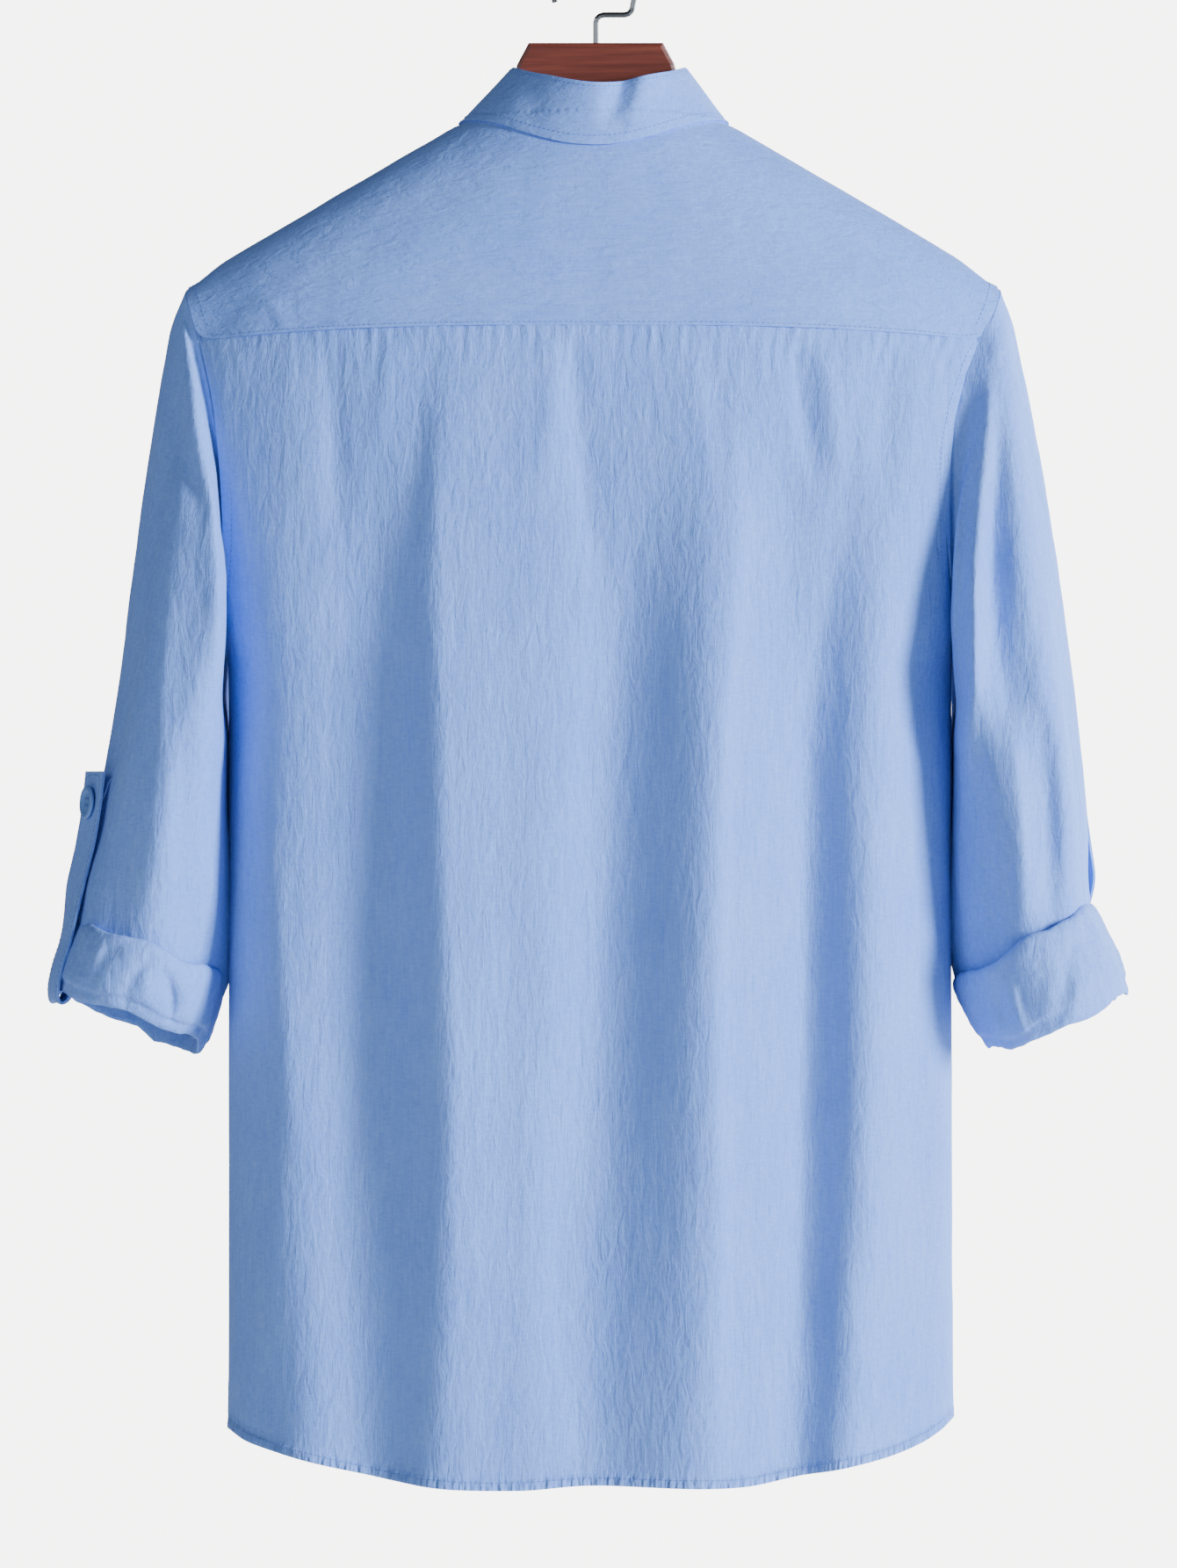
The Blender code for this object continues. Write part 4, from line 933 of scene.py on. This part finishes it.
def button_piece(node):
    """A turned four-hole button, sewn on with two bars of thread."""
    foot, axis, radius, thick = button_frame(node)
    turn = axis.to_track_quat("Z", "Y")
    bm = bmesh.new()
    turns = [2 * math.pi * k / BUTTON_SIDES for k in range(BUTTON_SIDES)]
    rings = [[bm.verts.new((radius * share * math.cos(a), radius * share * math.sin(a), thick * height))
              for a in turns] for share, height in BUTTON_PROFILE]
    closed_tube(bm, rings[::-1])
    piece = mesh_object(node + "_turned", bm)
    cutter = bmesh.new()
    hole = HOLE_RADIUS * radius
    for x, y in HOLE_PLACES:
        spot = Matrix.Translation((HOLE_OUT * x * radius, HOLE_OUT * y * radius, 0))
        bmesh.ops.create_cone(cutter, cap_ends=True, segments=14, radius1=hole, radius2=hole,
                              depth=3 * thick, matrix=spot)
    drill = mesh_object("drill", cutter)
    with_modifier(piece, "BOOLEAN", operation="DIFFERENCE", solver="EXACT", object=drill)
    bpy.data.objects.remove(drill)
    thread = bmesh.new()
    for y in (-HOLE_OUT, HOLE_OUT):
        add_stitch(thread, Vector((0, y * radius, 0.6 * thick)), Vector((1, 0, 0)), Vector((0, 0, 1)),
                   0.55 * radius, 0.055 * radius)
    bars = mesh_object(node + "_thread", thread)
    place = Matrix.Translation(foot * MM) @ turn.to_matrix().to_4x4()
    piece.data.transform(place @ Matrix.Diagonal((MM, MM, MM, 1)))
    bars.data.transform(place)
    shade(piece, material_of("blue_resin", button_material), 50)
    shade(bars, material_of("blue_sewing_thread", thread_material), 80)
    ready(piece, node)
    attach(bars, "root")


def buttonholes():
    """A worked slit under each button of the band."""
    surface = SKINS["placket"][1]
    bm = bmesh.new()
    for node in sorted(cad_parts):
        if not node.startswith("front_button"):
            continue
        middle = button_frame(node)[0]
        for k in range(-14, 15):
            for side in (-1, 1):
                spot = middle + Vector((side * 0.8, 0, k * 0.52))
                place, normal = surface.find_nearest(spot * MM)[:2]
                add_stitch(bm, place / MM, Vector((1, 0, 0)), normal, 1.5, 0.24)
    piece = mesh_object("buttonhole_stitches", bm)
    shade(piece, material_of("blue_sewing_thread", thread_material), 80)
    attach(piece, "root")


LOOSE_THREAD = ((-278.2, -42.6, -488.0), (-275.4, -44.4, -485.4), (-273.6, -45.0, -480.8),
                (-272.4, -45.4, -476.2), (-269.6, -44.6, -472.6))
LOOSE_THREAD_RADIUS = 0.22


def loose_thread():
    """The uncut end of the thread at the left tab's button."""
    line = [Vector(p) for p in LOOSE_THREAD]
    points = [p for p, _ in spaced(line, 0.5)]
    points = smoothed(points, 12)
    bm = bmesh.new()
    rings = []
    for i, point in enumerate(points):
        along = (points[min(i + 1, len(points) - 1)] - points[max(i - 1, 0)]).normalized()
        side = along.cross(Vector((0, 1, 0))).normalized()
        up = side.cross(along)
        rings.append(thread_ring(bm, point, side, up, LOOSE_THREAD_RADIUS))
    closed_tube(bm, rings)
    piece = mesh_object("loose_thread", bm)
    shade(piece, material_of("blue_sewing_thread", thread_material), 80)
    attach(piece, "root")


# Stage

def aimed(obj, at):
    obj.rotation_euler = (Vector(at) - obj.location).to_track_quat("-Z", "Y").to_euler()


# The lights. Columns: place and size in metres, and colour.
LIGHTS = {
    "key": ((5.2, -2.8, 0.6), (1.4, 2.2), "#EEF5FF"),
    "fill": ((-2.4, -2.8, 0.5), (1.8, 1.8), "#FFFFFF"),
    "front": ((2.6, 3.4, 0.5), (1.6, 2.2), "#FFFFFF"),
}
LIGHTS_AIM = (0, 0, -0.45)
EYE = (-0.003, -3.2, -0.4772)
FLOOR_RADIUS = 4.4
FLOOR_HEIGHT = -1.6


def soft_light(name, power):
    """A broad light, as a studio's soft box."""
    place, size, colour = LIGHTS[name]
    light = bpy.data.lights.new(name + "_light", "AREA")
    light.color = srgb(colour)[:3]
    light.shape = "RECTANGLE"
    light.size, light.size_y = size
    light.energy = power
    lamp = bpy.data.objects.new(name + "_light", light)
    bpy.context.scene.collection.objects.link(lamp)
    lamp.location = place
    aimed(lamp, LIGHTS_AIM)


def floor():
    """Pale painted floor: matt, with a little light of its own so that it stays even."""
    bm = bmesh.new()
    bmesh.ops.create_circle(bm, cap_ends=True, segments=64, radius=FLOOR_RADIUS,
                            matrix=Matrix.Translation((0, 0, FLOOR_HEIGHT)))
    piece = mesh_object("floor", bm)
    glow = {"Emission Color": srgb("#F4F4F2"), "Emission Strength": 0.08}
    shade(piece, new_material("pale_floor", "#F4F4F2", 0.9, glow)[0])


def sky(settings):
    """Even pale light all round, brighter to the eye than it is on the cloth."""
    world = bpy.context.scene.world or bpy.data.worlds.new("world")
    bpy.context.scene.world = world
    world.use_nodes = True
    tree = world.node_tree
    light = tree.nodes["Background"]
    light.inputs["Color"].default_value = srgb("#F2F5FA")
    light.inputs["Strength"].default_value = settings.ambient
    seen = add(tree, "Background", {"Color": srgb("#F2F2F0"), "Strength": settings.paper})
    direct = add(tree, "LightPath").outputs["Is Camera Ray"]
    both = add(tree, "MixShader", links={0: direct, 1: light.outputs[0], 2: seen.outputs[0]})
    tree.links.new(tree.nodes["World Output"].inputs["Surface"], both.outputs[0])


def camera():
    """Level, straight behind the shirt's back."""
    settings = bpy.context.scene.shirt_stage
    data = bpy.data.cameras.new("camera")
    data.sensor_width = 36.0
    data.lens = settings.lens
    data.clip_end = 50.0
    eye = bpy.data.objects.new("camera", data)
    bpy.context.scene.collection.objects.link(eye)
    eye.location = EYE
    eye.rotation_euler = (math.radians(90), 0, 0)
    bpy.context.scene.camera = eye


# Settings and operators

class ShirtCloth(bpy.types.PropertyGroup):
    light_colour: FloatVectorProperty(name="Light yarn", description="Colour of the lighter yarns",
                                      subtype="COLOR", size=4, default=srgb("#7AA2EB"))
    dark_colour: FloatVectorProperty(name="Dark yarn", description="Colour of the darker yarns",
                                     subtype="COLOR", size=4, default=srgb("#5983DC"))
    crease: FloatProperty(name="Creases", description="Strength of the listed creases",
                          subtype="FACTOR", default=1.0)
    sheen: FloatProperty(name="Sheen", description="Soft sheen of the fibres", subtype="FACTOR",
                         default=0.05)
    weave: FloatProperty(name="Weave", description="Strength of the weave's relief", subtype="FACTOR",
                         default=0.25)
    wrinkle: FloatProperty(name="Wrinkles", description="Depth of the fine wrinkles", unit="LENGTH",
                           precision=5, default=1.3 * MM)
    thickness: FloatProperty(name="Thickness", description="Thickness of the cloth", unit="LENGTH",
                             precision=5, default=1.0 * MM)


class ShirtStitches(bpy.types.PropertyGroup):
    pitch: FloatProperty(name="Pitch", description="From one stitch to the next", unit="LENGTH",
                         precision=5, default=2.9 * MM)
    length: FloatProperty(name="Length", description="Length of a stitch", unit="LENGTH",
                          precision=5, default=2.2 * MM)
    thick: FloatProperty(name="Thread", description="Half the thread's thickness", unit="LENGTH",
                         precision=5, default=0.21 * MM)


class ShirtStage(bpy.types.PropertyGroup):
    lens: FloatProperty(name="Lens", description="Focal length of the camera", unit="CAMERA",
                        default=129.07)
    key: FloatProperty(name="Key light", description="Power of the key light", unit="POWER",
                       default=990.0)
    fill: FloatProperty(name="Fill light", description="Power of the fill light", unit="POWER",
                        default=38.0)
    front: FloatProperty(name="Front light", description="Power of the light on the buttoned side",
                         unit="POWER", default=210.0)
    paper: FloatProperty(name="Background", description="How bright the pale background looks",
                         default=7.0)
    ambient: FloatProperty(name="Ambient", description="Strength of the world's light", default=0.15)


class SHIRT_OT_body(bpy.types.Operator):
    """Makes the back panel, the yoke, both fronts and the button band"""
    bl_idname = "shirt.body"
    bl_label = "Body"

    def execute(self, context):
        panel("back_panel", gathered=True)
        panel("front_left")
        panel("front_right")
        yoke_piece()
        placket_piece()
        return {"FINISHED"}


class SHIRT_OT_collar(bpy.types.Operator):
    """Makes the standing collar"""
    bl_idname = "shirt.collar"
    bl_label = "Collar"

    def execute(self, context):
        collar_piece()
        return {"FINISHED"}


class SHIRT_OT_sleeves(bpy.types.Operator):
    """Makes the sleeves, their rolled ends and the tabs"""
    bl_idname = "shirt.sleeves"
    bl_label = "Sleeves"

    def execute(self, context):
        for side in ("left", "right"):
            sleeve_piece(side)
            roll_piece(side)
            tab_piece(side)
        return {"FINISHED"}


class SHIRT_OT_stitches(bpy.types.Operator):
    """Sews the rows of stitches along the seams and hems"""
    bl_idname = "shirt.stitches"
    bl_label = "Stitches"

    def execute(self, context):
        stitch_rows()
        buttonholes()
        loose_thread()
        return {"FINISHED"}


class SHIRT_OT_buttons(bpy.types.Operator):
    """Makes the four-hole buttons and the thread that holds them"""
    bl_idname = "shirt.buttons"
    bl_label = "Buttons"

    def execute(self, context):
        for node in sorted(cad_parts):
            if "button" in node:
                button_piece(node)
        return {"FINISHED"}


class SHIRT_OT_hanger(bpy.types.Operator):
    """Finishes the hanger in wood and its hook in steel"""
    bl_idname = "shirt.hanger"
    bl_label = "Hanger"

    def execute(self, context):
        shade(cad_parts["hanger"], material_of("mahogany", wood_material))
        shade(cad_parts["hook"], material_of("dark_chromed_steel", steel_material))
        return {"FINISHED"}


class SHIRT_OT_stage(bpy.types.Operator):
    """Sets the camera, the lights and the backdrop"""
    bl_idname = "shirt.stage"
    bl_label = "Stage"

    def execute(self, context):
        settings = context.scene.shirt_stage
        sky(settings)
        soft_light("key", settings.key)
        soft_light("fill", settings.fill)
        soft_light("front", settings.front)
        floor()
        camera()
        return {"FINISHED"}


class SHIRT_PT_panel(bpy.types.Panel):
    """Lists the shirt's pieces"""
    bl_label = "Shirt"
    bl_idname = "SHIRT_PT_panel"
    bl_space_type = "VIEW_3D"
    bl_region_type = "UI"
    bl_category = "Shirt"

    def draw(self, context):
        for operator in OPERATORS:
            self.layout.operator(operator.bl_idname)


OPERATORS = (SHIRT_OT_body, SHIRT_OT_collar, SHIRT_OT_sleeves, SHIRT_OT_stitches, SHIRT_OT_buttons,
             SHIRT_OT_hanger, SHIRT_OT_stage)
CLASSES = (ShirtCloth, ShirtStitches, ShirtStage) + OPERATORS + (SHIRT_PT_panel,)


def register():
    for cls in CLASSES:
        bpy.utils.register_class(cls)
    bpy.types.Scene.shirt_cloth = PointerProperty(type=ShirtCloth)
    bpy.types.Scene.shirt_stitches = PointerProperty(type=ShirtStitches)
    bpy.types.Scene.shirt_stage = PointerProperty(type=ShirtStage)


def unregister():
    del bpy.types.Scene.shirt_cloth
    del bpy.types.Scene.shirt_stitches
    del bpy.types.Scene.shirt_stage
    for cls in reversed(CLASSES):
        bpy.utils.unregister_class(cls)


def main():
    register()
    bpy.ops.shirt.body()
    bpy.ops.shirt.collar()
    bpy.ops.shirt.sleeves()
    bpy.ops.shirt.stitches()
    bpy.ops.shirt.buttons()
    bpy.ops.shirt.hanger()
    bpy.ops.shirt.stage()


if __name__ == "__main__":
    main()
